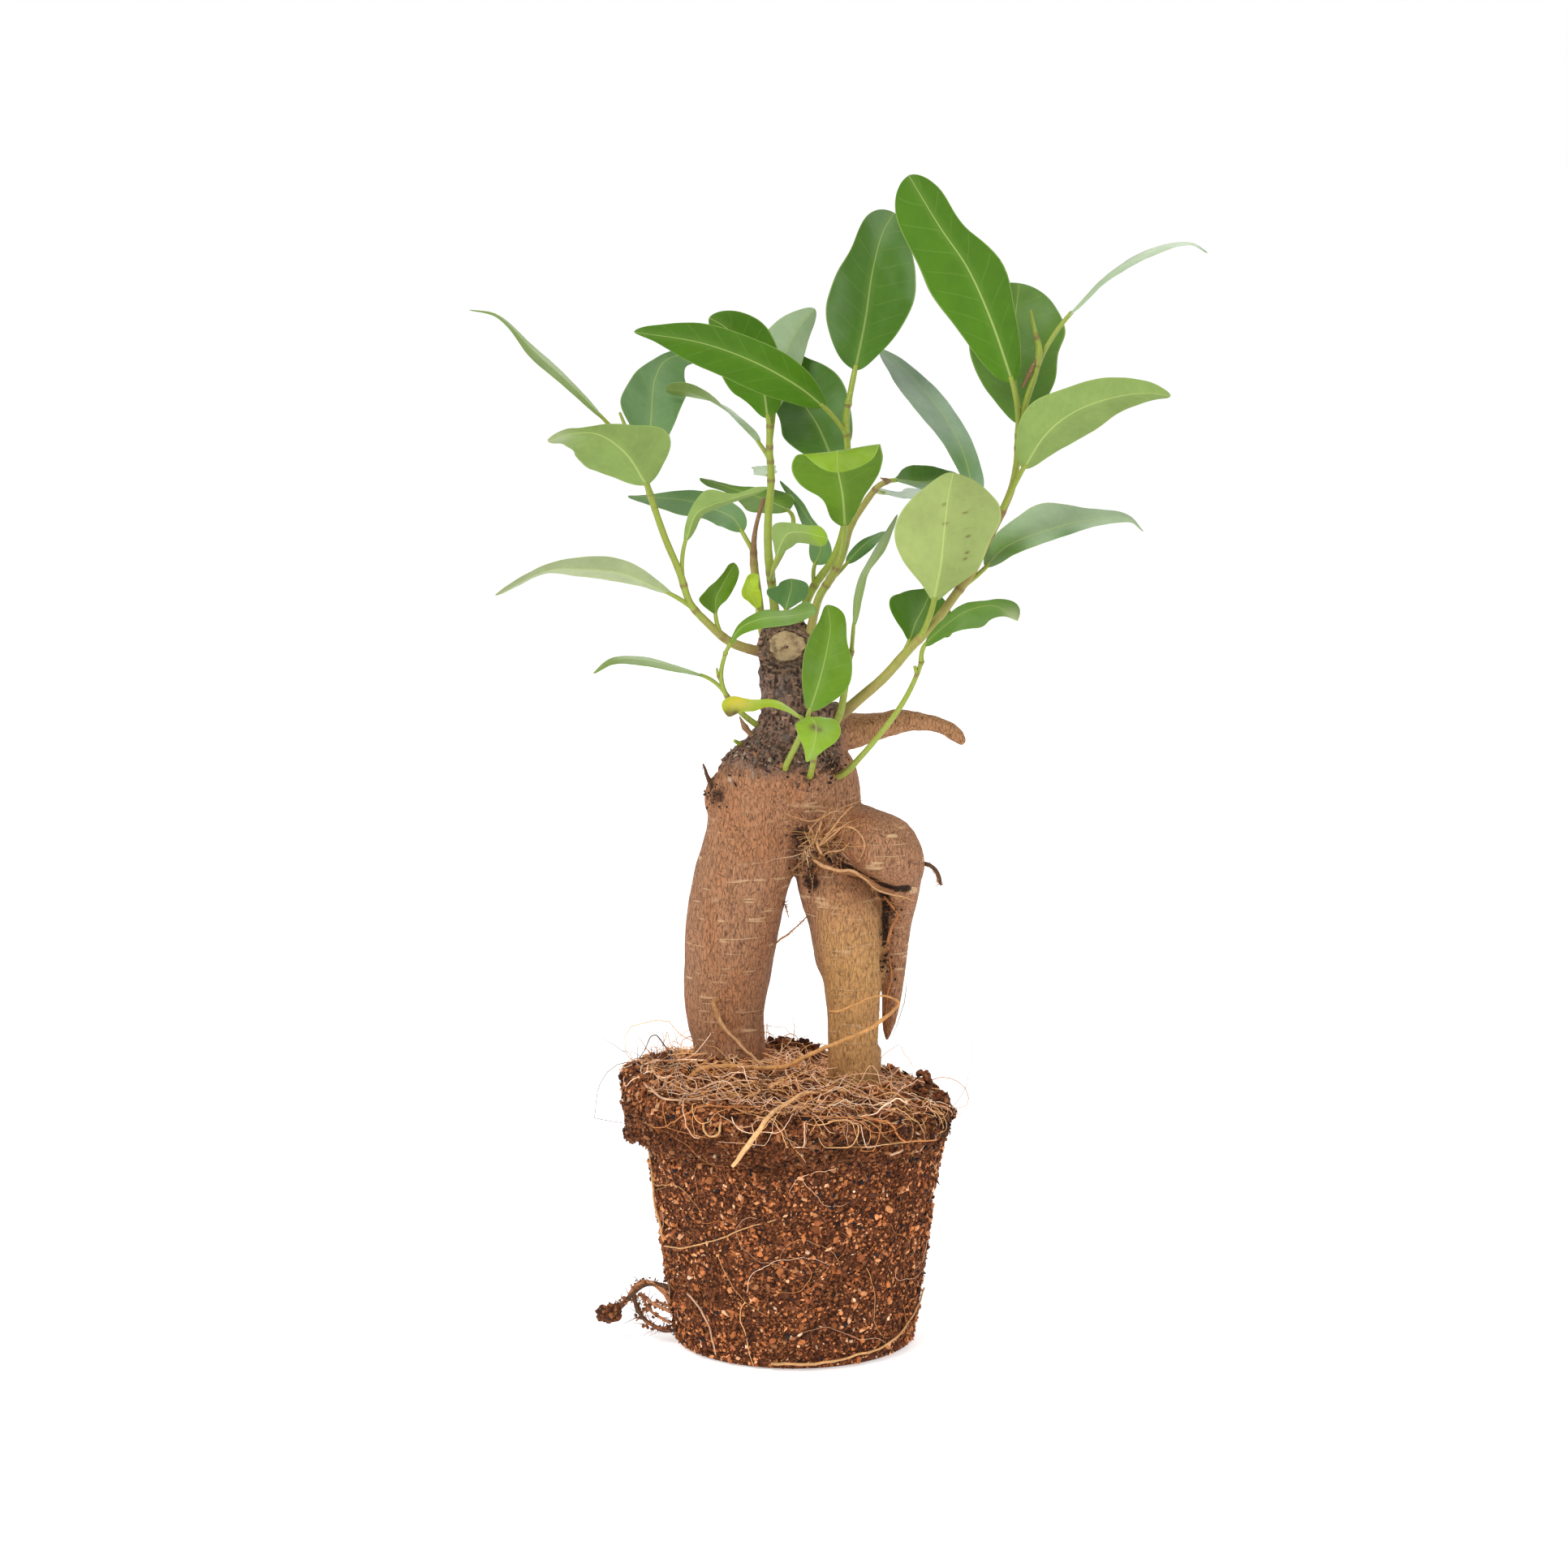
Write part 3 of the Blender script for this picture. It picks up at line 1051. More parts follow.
@dataclass(frozen=True)
class StemFinish:
    """Young stem: olive green above, khaki and corky towards its foot, brown at its nodes."""

    green: Colour = srgb(146, 160, 56)
    olive: Colour = srgb(160, 148, 76)
    brown: Colour = srgb(134, 100, 66)

    def material(self) -> bpy.types.Material:
        """Build the material.

        Returns:
            The material.
        """
        paint = Paint("stem")
        age = paint.value("age")
        ring = paint.value("ring")
        where = paint.place((1, 1, 0.3), 1.0)
        streak = paint.noise(where, 0.7, 4.0)
        blotch = paint.noise(paint.place(), 4.0, 3.0)
        share = age + 0.5 * (blotch - 0.5) + 0.3 * (streak - 0.5)
        colour = paint.mix(self.green, self.olive, share.rise(0.15, 0.6))
        colour = paint.mix(colour, self.brown, share.rise(0.7, 1.15))
        colour = paint.mix(colour, srgb(122, 88, 52), (ring * (0.4 + 0.9 * blotch)).rise(0.15, 0.8) * 0.7)
        dots = paint.cells(paint.place((1, 1, 0.6)), 1.3).rise(0.2, 0.12)
        colour = paint.mix(colour, srgb(196, 182, 136), dots * 0.4)
        colour = paint.shade(colour, 0.78 + 0.5 * streak)
        normal = paint.bump(streak + 0.5 * dots, 0.5, 0.14)
        return paint.finish(colour, 0.4 + 0.25 * share.rise(0.2, 0.9), normal)


@dataclass(frozen=True)
class BarkFinish:
    """Smooth fig bark: fine upright wrinkles, pale cross marks, and a rough dark graft band.

    Attributes:
        light: Raised bark of the left leg.
        dark: Its wrinkles.
        warm: Redder patches.
        gold: Raised bark of the right leg.
        old: Old bark of the neck.
        soil: Dirt in the folds.
    """

    light: Colour = srgb(184, 133, 97)
    dark: Colour = srgb(92, 60, 42)
    warm: Colour = srgb(176, 118, 78)
    gold: Colour = srgb(206, 155, 97)
    old: Colour = srgb(166, 130, 108)
    soil: Colour = srgb(44, 33, 27)

    def material(self) -> bpy.types.Material:
        """Build the material.

        Returns:
            The material.
        """
        paint = Paint("bark")
        wrinkle = paint.noise(paint.place((1, 1, 0.3), 1.8), 0.6, 5.0, 0.7)
        fleck = paint.noise(paint.place((1, 1, 0.4), 2.0), 1.3, 4.0, 0.65)
        broad = paint.noise(paint.place((1, 1, 0.5)), 15.0, 3.0)
        gold = paint.value("gold")
        light = paint.mix(self.light, self.gold, gold)
        light = paint.mix(light, self.warm, broad.rise(0.44, 0.68) * (1.0 - gold) * 0.7)
        dark = paint.mix(self.dark, srgb(122, 86, 52), gold * 0.8)
        colour = paint.mix(dark, light, (0.6 * wrinkle + 0.4 * fleck).rise(0.35, 0.55))
        split = paint.cells(paint.place((1, 1, 0.3), 2.6), 1.2, "DISTANCE_TO_EDGE").rise(0.09, 0.0)
        split = split * fleck.rise(0.42, 0.6)
        colour = paint.mix(colour, srgb(62, 40, 28), split * (0.75 - 0.3 * gold))
        row = abs(paint.noise(paint.place((0.03, 0.03, 1), 0.9), 3.4, 1.0) - 0.5).rise(0.042, 0.012)
        dash = row * paint.noise(paint.place((0.3, 0.3, 0.8), 0.6), 2.6, 1.0).rise(0.53, 0.6)
        dash = dash * broad.rise(0.66, 0.44) * paint.value("leg")
        colour = paint.mix(colour, srgb(218, 178, 136), dash * (0.9 - 0.4 * gold))
        colour = paint.shade(colour, 0.8 + 0.4 * broad)
        old = paint.value("old")
        crumb = paint.noise(paint.place(), 1.1, 5.0, 0.72)
        ridge = paint.noise(paint.place((1, 1, 0.5), 0.8), 1.4, 4.0, 0.65)
        neck = paint.value("neck")
        tough = paint.mix(srgb(60, 43, 36), self.old, (crumb * (1.0 - neck) + ridge * neck).rise(0.41, 0.6))
        ashen = paint.noise(paint.place(), 3.2, 3.0).rise(0.5, 0.66) * (1.0 - 0.35 * neck)
        tough = paint.mix(tough, paint.shade(srgb(150, 138, 126), 0.3 + crumb), ashen * 0.7)
        colour = paint.mix(colour, tough, old)
        lens = paint.noise(paint.place((0.42, 0.42, 1.1), 0.5), 1.15, 0.0).rise(0.67, 0.71) * neck
        colour = paint.mix(colour, srgb(206, 160, 134), lens * 0.85)
        dirt = (paint.value("dirt") * (0.6 + 0.9 * crumb)).rise(0.25, 0.7)
        colour = paint.mix(colour, paint.shade(self.soil, 0.5 + crumb), dirt * 0.92)
        rough = 0.6 + 0.25 * wrinkle
        low = paint.bump(wrinkle + 0.6 * fleck - 0.6 * split + 0.6 * dash, 0.9, 0.4)
        coarse = paint.bump((crumb + ridge * neck) * (old + dirt) + lens * 0.4, 1.0, 1.2, low)
        return paint.finish(colour, rough, coarse, Specular_IOR_Level=0.25)


@dataclass(frozen=True)
class CutFinish:
    """Sawn wood: mottled pale wood round a pith, a thin broken ring, and a dark healed rim."""

    wood: Colour = srgb(188, 160, 122)
    dark: Colour = srgb(116, 92, 66)

    def material(self) -> bpy.types.Material:
        """Build the material.

        Returns:
            The material.
        """
        paint = Paint("cut_wood")
        patch = paint.noise(paint.place(), 3.0, 4.0)
        fine = paint.noise(paint.place(), 0.5, 4.0)
        share = paint.value("share") + 0.14 * (patch - 0.5)
        rings = (share * 21.0 + patch * 6.0).sine()
        colour = paint.mix(self.wood, self.dark, (0.32 + 0.08 * rings + 3.4 * (patch - 0.5)).rise(0.0, 1.0))
        ring = share.rise(0.7, 0.74) * share.rise(0.83, 0.78)
        colour = paint.mix(colour, srgb(84, 60, 42), ring * patch.rise(0.3, 0.5) * 0.9)
        healed = paint.mix(srgb(72, 52, 42), srgb(150, 118, 92), (fine + patch - 0.5).rise(0.4, 0.75))
        colour = paint.mix(colour, healed, share.rise(0.81, 0.86))
        colour = paint.mix(colour, srgb(46, 32, 25), share.rise(0.1, 0.05))
        colour = paint.shade(colour, 0.72 + 0.56 * fine)
        normal = paint.bump(0.2 * rings + fine - ring, 0.7, 0.3)
        return paint.finish(colour, 0.75 + 0.15 * fine, normal)


@dataclass(frozen=True)
class SoilFinish:
    """Damp coir crumb that lies behind the chips: dark brown with redder and blacker grains."""

    grain: float = 1.3

    def material(self) -> bpy.types.Material:
        """Build the material.

        Returns:
            The material.
        """
        paint = Paint("soil")
        where = paint.place()
        crumb = paint.cells(where, self.grain)
        tint = paint.noise(where, self.grain * 0.8, 4.0, 0.7)
        blotch = paint.noise(where, 11.0, 3.0)
        colour = paint.mix(srgb(58, 33, 22), srgb(186, 112, 70), tint.rise(0.42, 0.66))
        colour = paint.mix(colour, srgb(104, 58, 36), blotch.rise(0.35, 0.65) * 0.5)
        colour = paint.mix(colour, srgb(44, 27, 20), crumb.rise(0.45, 0.75) * 0.6)
        normal = paint.bump(tint - crumb, 0.9, 0.8)
        return paint.finish(colour, 0.88, normal, Specular_IOR_Level=0.1)


@dataclass(frozen=True)
class TintFinish:
    """Rough matter whose colour the mesh carries: coir chips, roots and dry fibres.

    Attributes:
        name: The material's name.
        grain: Width of its blotches in millimetres.
        roughness: Its roughness.
        relief: Height of its relief in millimetres.
    """

    name: str
    grain: float
    roughness: float
    relief: float

    def material(self) -> bpy.types.Material:
        """Build the material.

        Returns:
            The material.
        """
        paint = Paint(self.name)
        blotch = paint.noise(paint.place(), self.grain, 4.0, 0.65)
        colour = paint.shade(paint.colours("tint"), 0.3 + 1.45 * blotch)
        normal = paint.bump(blotch, 0.7, self.relief)
        return paint.finish(colour, self.roughness + 0.15 * blotch, normal, Specular_IOR_Level=0.15)


@dataclass(frozen=True)
class FloorFinish:
    """White paper of the studio floor, lit a little from within so that it burns out to white."""

    glow: float = 0.52

    def material(self) -> bpy.types.Material:
        """Build the material.

        Returns:
            The material.
        """
        paint = Paint("floor")
        tooth = paint.noise(paint.place(), 2.0, 3.0)
        colour = paint.shade((1.0, 1.0, 1.0), 0.92 + 0.04 * tooth)
        light = {"Emission_Strength": self.glow, "Specular_IOR_Level": 0.1}
        return paint.finish(colour, 0.9, Emission_Color=(1.0, 1.0, 1.0, 1.0), **light)


def place_piece(
    name: str, form: Shape | bpy.types.Mesh, material: bpy.types.Material, slot: Slot, *stands_for: str
) -> None:
    """Put a finished piece into the scene and tell the frame what it is.

    Args:
        name: Name of the piece.
        form: Its shape in millimetres, or its mesh in metres.
        material: Its finish.
        slot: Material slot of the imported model.
        stands_for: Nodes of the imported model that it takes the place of.
    """
    mesh = form.mesh(name) if isinstance(form, Shape) else form
    mesh.materials.clear()
    mesh.materials.append(material)
    piece = add_object(name, mesh)
    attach(piece, "root")
    if stands_for:
        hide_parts(*stands_for)
    mesh.calc_loop_triangles()
    log.info("%s: %d triangles", name, len(mesh.loop_triangles))


def limb_shape(limb: Limb, steps: int = 90, sides: int = 96) -> Shape:
    """Skin a limb. Each ring is an ellipse that faces the viewer with its depth axis.

    Args:
        limb: The limb.
        steps: Rings along it.
        sides: Points round each ring.

    Returns:
        The closed limb.
    """
    path, radius = drawn(limb.path, limb.radii, steps)
    share = np.linspace(0, 1, steps)
    depth = spread_out(share, limb.depth)
    kernel = np.array([1, 2, 3, 2, 1]) / 9
    radius[2:-2] = np.convolve(radius, kernel, "valid")
    along = np.tile([0.0, 0, -1], (steps, 1)) if limb.level else unit(np.gradient(path, axis=0))
    facing = np.where(np.abs(along[:, 1:2]) > 0.9, [0.0, 0, 1], [0.0, 1, 0])
    side = unit(np.cross(along, facing))
    back = np.cross(along, side)
    turn = circle(sides)
    ring = side[:, None] * np.cos(turn)[:, None] + (back * depth[:, None])[:, None] * np.sin(turn)[:, None]
    rings = path[:, None] + ring * radius[:, None, None]
    return loft(rings[None], path[None, [0, -1]], {})


@dataclass
class Trunk:
    """The swollen trunk with its sawn top.

    Attributes:
        limbs: Limbs grown together.
        roots: Thicker roots on it.
        cut: A point of the sawn face, which rises towards the back at 45 degrees.
        pith: Its pith, to the right of that point and up the slope.
        voxel: Size of the grid in which the limbs are merged.
        folds: Lines along which two limbs press on each other.
        dirt: Points where soil sticks to it.
    """

    limbs: dict[str, Limb]
    roots: Sequence[Strand]
    cut: Point = (-3, 8, 242)
    pith: tuple[float, float] = (0.2, -0.2)
    voxel: float = 0.8
    folds: Sequence[Sequence[Point]] = (
        (
            (3, -5, 176.5), (9, -7, 173.2), (12.2, -8, 169.8), (17.5, -9, 166.8), (26, -8, 162.6),
            (33, -6, 160.2), (39, -5, 160),
        ),
        ((31, -3, 160), (31.5, 0, 152), (31.5, 2, 143), (31.6, 3, 130), (31.8, 4, 118), (31, 5, 104)),
    )
    dirt: Sequence[Point] = (
        (1.7, -4, 178.4), (3.9, -4, 174.1), (2.5, -2, 169), (4.8, -3, 165.5), (5.9, 0, 161.2),
        (7, -7, 175), (14.2, -8, 170), (-27, -2, 192), (14, -7, 203), (31.1, 0, 157.8), (33.1, 0, 150.7),
        (31, 3, 143), (31, 5, 130),
    )

    def merged(self) -> bpy.types.Mesh:
        """Merge the limbs, level the sawn top and give the bark its relief.

        The limbs are turned into one skin on a voxel grid, relaxed, and every point is moved along
        its normal by three layers of noise drawn out along the grain.

        Returns:
            The trunk's mesh.
        """
        rough = Shape.join([limb_shape(limb) for limb in self.limbs.values()])
        ceiling = self.cut[2] + rough.points[:, 1] - self.cut[1]
        rough.points[:, 2] = np.minimum(rough.points[:, 2], ceiling)
        source = add_object("limbs", rough.mesh("limbs"))
        remesh = source.modifiers.new("merge", "REMESH")
        remesh.mode = "VOXEL"
        remesh.voxel_size = self.voxel * MM
        seen = source.evaluated_get(bpy.context.evaluated_depsgraph_get())
        mesh = bpy.data.meshes.new_from_object(seen)
        mesh.name = "trunk_body"
        bpy.data.objects.remove(source)
        points, normals = self.relaxed(mesh)
        points += normals * self.relief(points)[:, None]
        set_points(mesh, points)
        mesh.polygons.foreach_set("use_smooth", np.ones(len(mesh.polygons), bool))
        mesh.update()
        write_values(mesh, self.regions(points))
        return mesh

    @staticmethod
    def relaxed(mesh: bpy.types.Mesh, rounds: int = 3) -> tuple[np.ndarray, np.ndarray]:
        """Even out the voxel steps: each point moves halfway to the mean of its neighbours.

        Args:
            mesh: The merged mesh.
            rounds: How often.

        Returns:
            Points in millimetres and their normals.
        """
        count = len(mesh.vertices)
        points = stored(mesh, "co") / MM
        edges = np.empty(len(mesh.edges) * 2, np.int32)
        mesh.edges.foreach_get("vertices", edges)
        one, two = edges.reshape(-1, 2).T
        valence = np.bincount(edges, minlength=count)[:, None]
        for _ in range(rounds):
            ways = ((one, two), (two, one))
            sums = [sum(np.bincount(a, points[b, k], count) for a, b in ways) for k in range(3)]
            points = 0.5 * points + 0.5 * np.stack(sums, -1) / valence
        set_points(mesh, points)
        mesh.update()
        return points, stored(mesh, "normal")

    def relief(self, points: np.ndarray) -> np.ndarray:
        """Height of the bark over the smooth limbs.

        Args:
            points: Points in millimetres.

        Returns:
            Heights in millimetres.
        """
        swell = 0.55 * cloud(points, (9, 9, 22), 2, 3)
        grain = 0.17 * cloud(points, (2.0, 2.0, 6.5), 2, 5)
        old = self.aged(points)
        rough = old * (0.75 * cloud(points, 3.0, 3, 7) + 0.35 * cloud(points, (7, 7, 2.2), 2, 9))
        rough = rough + 0.6 * bell(points[:, 2] - 203, 5) * old
        below = self.below_cut(points)
        callus = 0.9 * bell(below - 1.6, 1.5)
        groove = 1.7 * bell(self.from_folds(points), 1.4)
        return (swell + grain + rough) * smoothstep(0.4, 2.0, below) + callus - groove

    def from_folds(self, points: np.ndarray) -> np.ndarray:
        """Distance to the nearest fold line as seen from the front, far on the back.

        Args:
            points: Points in millimetres.

        Returns:
            Distances in millimetres.
        """
        near = np.full(len(points), 99.0)
        for fold in self.folds:
            for spot in spline(fold, 60):
                near = np.minimum(near, np.hypot(points[:, 0] - spot[0], points[:, 2] - spot[2]))
        return near + 99.0 * (points[:, 1] > 8)

    def below_cut(self, points: np.ndarray) -> np.ndarray:
        """Distance in millimetres below the plane of the cut."""
        return (self.cut[2] + points[:, 1] - self.cut[1] - points[:, 2]) * np.sqrt(0.5)

    @staticmethod
    def aged(points: np.ndarray) -> np.ndarray:
        """Share of rough old bark: the graft band and the neck, not the horn at the right.

        Args:
            points: Points in millimetres.

        Returns:
            Shares from 0 to 1.
        """
        x, _, z = points.T
        edge = 199 + 2.5 * cloud(points, 7, 2, 11) + 0.12 * np.abs(x + 2)
        horn = smoothstep(13, 19, x)
        return smoothstep(edge - 2, edge + 6, z) * (1 - horn)

    def regions(self, points: np.ndarray) -> dict[str, np.ndarray]:
        """Work out where the bark is golden, old, part of the neck, of a leg, or dirty.

        Args:
            points: Points in millimetres.

        Returns:
            Shares from 0 to 1 for each point.
        """
        x, _, z = points.T
        gold = smoothstep(5, 12, x) * smoothstep(174, 130, z) * smoothstep(33, 30, x)
        gold = np.maximum(gold, 0.3 * smoothstep(14, 22, x) * smoothstep(202, 206, z))
        spots = np.linalg.norm(points[:, None] - np.array(self.dirt), axis=2)
        dirt = np.clip(0.8 * bell(spots, 3.2).sum(1), 0, 1)
        folded = bell(self.from_folds(points), 1.3)
        graft = 0.5 * bell(z - 203 - 3 * cloud(points, 6, 2, 17), 4.5) * smoothstep(16, 10, x)
        graft = graft * smoothstep(-0.1, 0.5, cloud(points, 4, 2, 19))
        foot = 0.35 * smoothstep(101, 93, z + 2 * cloud(points, 5, 2, 13))
        neck = smoothstep(212, 218, z) * smoothstep(16, 12, x)
        leg = smoothstep(196, 188, z) * smoothstep(97, 105, z)
        dirty = np.maximum.reduce([dirt, foot, folded, graft])
        return {"gold": gold, "old": self.aged(points), "neck": neck, "leg": leg, "dirt": dirty}

    def flakes(self, mesh: bpy.types.Mesh, count: int = 520) -> Shape:
        """Loose bark flakes and crumbs on the graft band.

        Args:
            mesh: The finished trunk.
            count: How many.

        Returns:
            One shape with all of them.
        """
        rng = np.random.default_rng(SEED + 9)
        points = stored(mesh, "co") / MM
        x, _, z = points.T
        band = bell(z - 204 - 3 * cloud(points, 6, 2, 17), 6.0) * smoothstep(17, 12, x)
        pick = rng.choice(len(points), count, p=band / band.sum())
        sizes = rng.lognormal(0, 0.35, (count, 1))
        sizes = sizes * rng.uniform((0.35, 0.25, 0.12), (1.0, 0.6, 0.3), (count, 3))
        shades = [
            srgb(132, 106, 88), srgb(164, 142, 122), srgb(98, 72, 58), srgb(52, 42, 38), srgb(146, 104, 78),
        ]
        tints = toned(shades, [0.3, 0.12, 0.24, 0.12, 0.22], count, (0.7, 1.15), rng)
        normals = stored(mesh, "normal")[pick]
        return grains(points[pick] + 0.15 * normals, normals, sizes, tints, rng)

    def sawn_face(self) -> Shape:
        """Sawn end: an uneven oval with a raised rim and a pith hole off its middle.

        The rings of an oval, uneven by three sines of the angle, shrink towards the pith. Their
        height over the cut is a low rim, a groove inside it, a flat face and a dip at the pith.

        Returns:
            The closed disc, with the share of the way from the pith to the rim.
        """
        share = np.linspace(1, 0.02, 60)
        turn = circle(120)
        uneven = 1 + 0.04 * np.sin(3 * turn + 1) + 0.03 * np.sin(5 * turn) + 0.02 * np.sin(11 * turn + 2)
        oval = np.stack([0.5 + np.cos(turn) * uneven * 8.7, 0.5 + np.sin(turn) * uneven * 8.8], -1)
        flat = share[:, None, None] * oval + (1 - share)[:, None, None] * np.array(self.pith)
        height = 0.55 + 0.35 * bell(share - 0.9, 0.06) - 1.3 * bell(share, 0.06)
        height = height - 0.5 * bell(share - 0.8, 0.05)
        height = np.where(share > 0.98, -0.6, height)
        across = np.array([1.0, 0, 0])
        rise = np.array([0, 1, 1]) * np.sqrt(0.5)
        out = np.array([0, -1, 1]) * np.sqrt(0.5)
        middle = np.array(self.cut)
        rings = middle + flat[..., :1] * across + flat[..., 1:] * rise + height[:, None, None] * out
        pith = middle + self.pith[0] * across + self.pith[1] * rise
        ends = np.stack([middle - 0.6 * out, pith - 0.8 * out])
        spread = np.repeat(share[:, None], len(turn), 1)
        return loft(rings[None], ends[None], {"share": spread[None]})

    def build(self) -> None:
        """Make the trunk's pieces."""
        body = self.merged()
        place_piece("trunk_body", body, BarkFinish().material(), Slot.BARK, "trunk")
        flake = TintFinish("bark_flake", 0.8, 0.7, 0.15).material()
        place_piece("bark_flakes", self.flakes(body), flake, Slot.BARK)
        place_piece("cut_face", self.sawn_face(), CutFinish().material(), Slot.BARK)


FIBRES = (
    Strand(((-27, -3.5, 118), (-25.4, -5.5, 113.5), (-20.3, -6.5, 107.5), (-18.4, -7, 105.5),
        (-13.9, -9, 102), (-11, -12, 98.5)), (0.6, 0.6, 0.55, 0.5, 0.4, 0.3)),
    Strand(((7.8, -9, 175.6), (12.2, -12, 181.2), (16.9, -12, 187.3), (20.2, -11, 190)),
        (0.35, 0.3, 0.25, 0.12)),
    Strand(((7.8, -9, 175.6), (12.7, -12, 179.7), (17.7, -13, 184.1), (21, -12, 185.4)),
        (0.3, 0.25, 0.2, 0.1)),
    Strand(((8.6, -9, 176.4), (14.1, -12, 182), (19.6, -13, 182.7), (23.5, -13, 178.8),
        (24.1, -12, 175.3), (21.6, -11, 170.6)), (0.35, 0.35, 0.3, 0.3, 0.25, 0.15)),
    Strand(((5, -5, 181.9), (6.7, -9, 179.2), (8, -10, 175.7), (9.2, -10, 173.2)), (0.3, 0.4, 0.5, 0.4)),
    Strand(((-3.6, -9, 186.8), (5.8, -11, 184.6), (14.1, -11, 188.6), (23.3, -9, 191.6)),
        (0.12, 0.2, 0.2, 0.1)),
    Strand(((6.7, -8, 170.6), (10, -11, 169.2), (15, -13, 168.1), (20.5, -14, 167.7), (24.1, -14, 164.9),
        (28.8, -12, 160.6), (35.6, -9, 158.6), (41.5, -6, 156.1)),
        (0.5, 0.7, 0.55, 0.5, 0.4, 0.35, 0.3, 0.12)),
    Strand(((8.6, -6, 170.8), (11.4, -9, 173.6), (15.5, -11, 174.5), (18.8, -11, 176.8)),
        (0.4, 0.35, 0.25, 0.12)),
    Strand(((30.8, 0, 156.4), (33.8, -2, 153.1), (35.6, -1, 149.5), (33.9, 0, 145.9), (32.5, 0, 142.2),
        (32.3, 0, 137.3)), (0.5, 0.5, 0.45, 0.4, 0.5, 0.3)),
    Strand(((31.7, 2, 157.4), (33.1, 0, 154.4), (36.1, 0, 155)), (0.4, 0.35, 0.2)),
    Strand(((-3.9, 5, 154.9), (-2.8, 3, 152.4), (-1.9, 3, 148.7)), (0.2, 0.25, 0.15)),
    Strand(((4.3, 6, 148.1), (1.5, 3, 145.8), (-1.1, 2, 143.5), (-4.4, 2, 141.2), (-6.7, 5, 138.9)),
        (0.2, 0.25, 0.2, 0.35, 0.25)),
    Strand(((-31.5, 2, 202.2), (-30.1, 0, 198.9), (-28.9, 0, 195.2), (-28.2, 2, 192.1),
        (-28.7, 3, 188.5)), (0.25, 0.4, 0.5, 0.6, 0.5)),
    Strand(((45.1, 2, 167.1), (47.8, 0, 166.3), (48.9, 0, 163.5), (49.8, 0, 161.2), (51.2, 0, 160.7)),
        (0.45, 0.4, 0.35, 0.3, 0.2)),
    Strand(((33, 5, 134), (33.5, 2, 128), (32, 2, 121), (31.5, 3, 114)), (0.3, 0.35, 0.3, 0.2)),
)

HAIRS = (
    Strand(((38.6, 2, 126.3), (38.2, 0, 121.3), (37.4, 0, 116.4), (35.8, 0, 111.5), (34.1, 0, 106.6)),
        (0.13, 0.16, 0.16, 0.12, 0.08)),
    Strand(((52.1, -5, 117.5), (56.2, -8, 116.1), (59, -8, 111.6), (61, -8, 105.8), (61.3, -8, 101),
        (59.8, -5, 93.1), (57.8, -2, 86.4), (54, -2, 82)),
        (0.05, 0.07, 0.08, 0.08, 0.08, 0.08, 0.1, 0.1)),
    Strand(((-68.3, -5, 109.7), (-64.6, -8, 107.5), (-61.2, -8, 105.3), (-57.1, -8, 101.8),
        (-52, -8, 97)), (0.06, 0.1, 0.12, 0.14, 0.14)),
)

TUFT = (
    Strand(((-43, -10, 14.8), (-46.3, -9, 19.2), (-52, -8, 21.6), (-56, -8, 19.3), (-58, -8, 15.9)),
        (0.9, 0.6)),
    Strand(((-43, -10, 11.5), (-49.5, -9, 14.5), (-53.6, -8, 16.8), (-56.9, -8, 14.2)), (0.7, 0.4)),
    Strand(((-43.1, -11, 5.6), (-48.8, -10, 6.1), (-52.9, -9, 9.2), (-54.5, -8, 14.2)), (0.7, 0.4)),
    Strand(((-43.1, -12, 8.1), (-47.9, -11, 10.3), (-51.2, -9, 13.4), (-54.1, -8, 17.6)), (0.6, 0.4)),
    Strand(((-43.8, -10, 18.2), (-47.9, -9, 20.9), (-52, -8, 22.3), (-55, -7, 21)), (0.6, 0.3)),
    Strand(((-57.7, -8, 15.9), (-60.6, -8, 14.2), (-62.6, -8, 12.6), (-64.5, -8, 10.9)), (0.5, 0.4)),
    Strand(((-43.1, -8, 5.8), (-46.3, -7, 4.6), (-50.4, -6, 5.8), (-53, -6, 4.5)), (0.6, 0.3)),
    Strand(((-43, -5, 12), (-48, -4, 13), (-52, -3, 10), (-55, -4, 6)), (0.6, 0.3)),
)

ROOT_TAN = srgb(214, 164, 110)
ROOT_PINK = srgb(216, 172, 138)
ROOT_RUST = srgb(172, 112, 66)
ROOT_DARK = srgb(96, 68, 50)
ROOT_GREY = srgb(168, 158, 150)


def tinted(tints: np.ndarray, steps: int) -> dict[str, np.ndarray]:
    """Give every point along a rod the rod's own colour."""
    return {"tint": np.repeat(tints[:, None], steps, 1)}


def strands_shape(strands: Sequence[Strand], tints: np.ndarray, steps: int = 40, sides: int = 8) -> Shape:
    """Skin a few rods of one batch, slightly knotty along their length.

    Args:
        strands: The rods.
        tints: A colour for each.
        steps: Points along each.
        sides: Sides of each.

    Returns:
        One shape with all of them.
    """
    drawn_rods = [drawn(s.path, s.radii, steps) for s in strands]
    paths = np.stack([p for p, _ in drawn_rods])
    radii = np.stack([r for _, r in drawn_rods])
    radii = radii * (1 + 0.12 * cloud(paths, 2.5, 2, 21))
    paths = paths + 0.35 * np.stack([cloud(paths, 4.0, 2, 30 + k) for k in range(3)], -1)
    return tubes(paths, radii, sides, tinted(tints, steps))


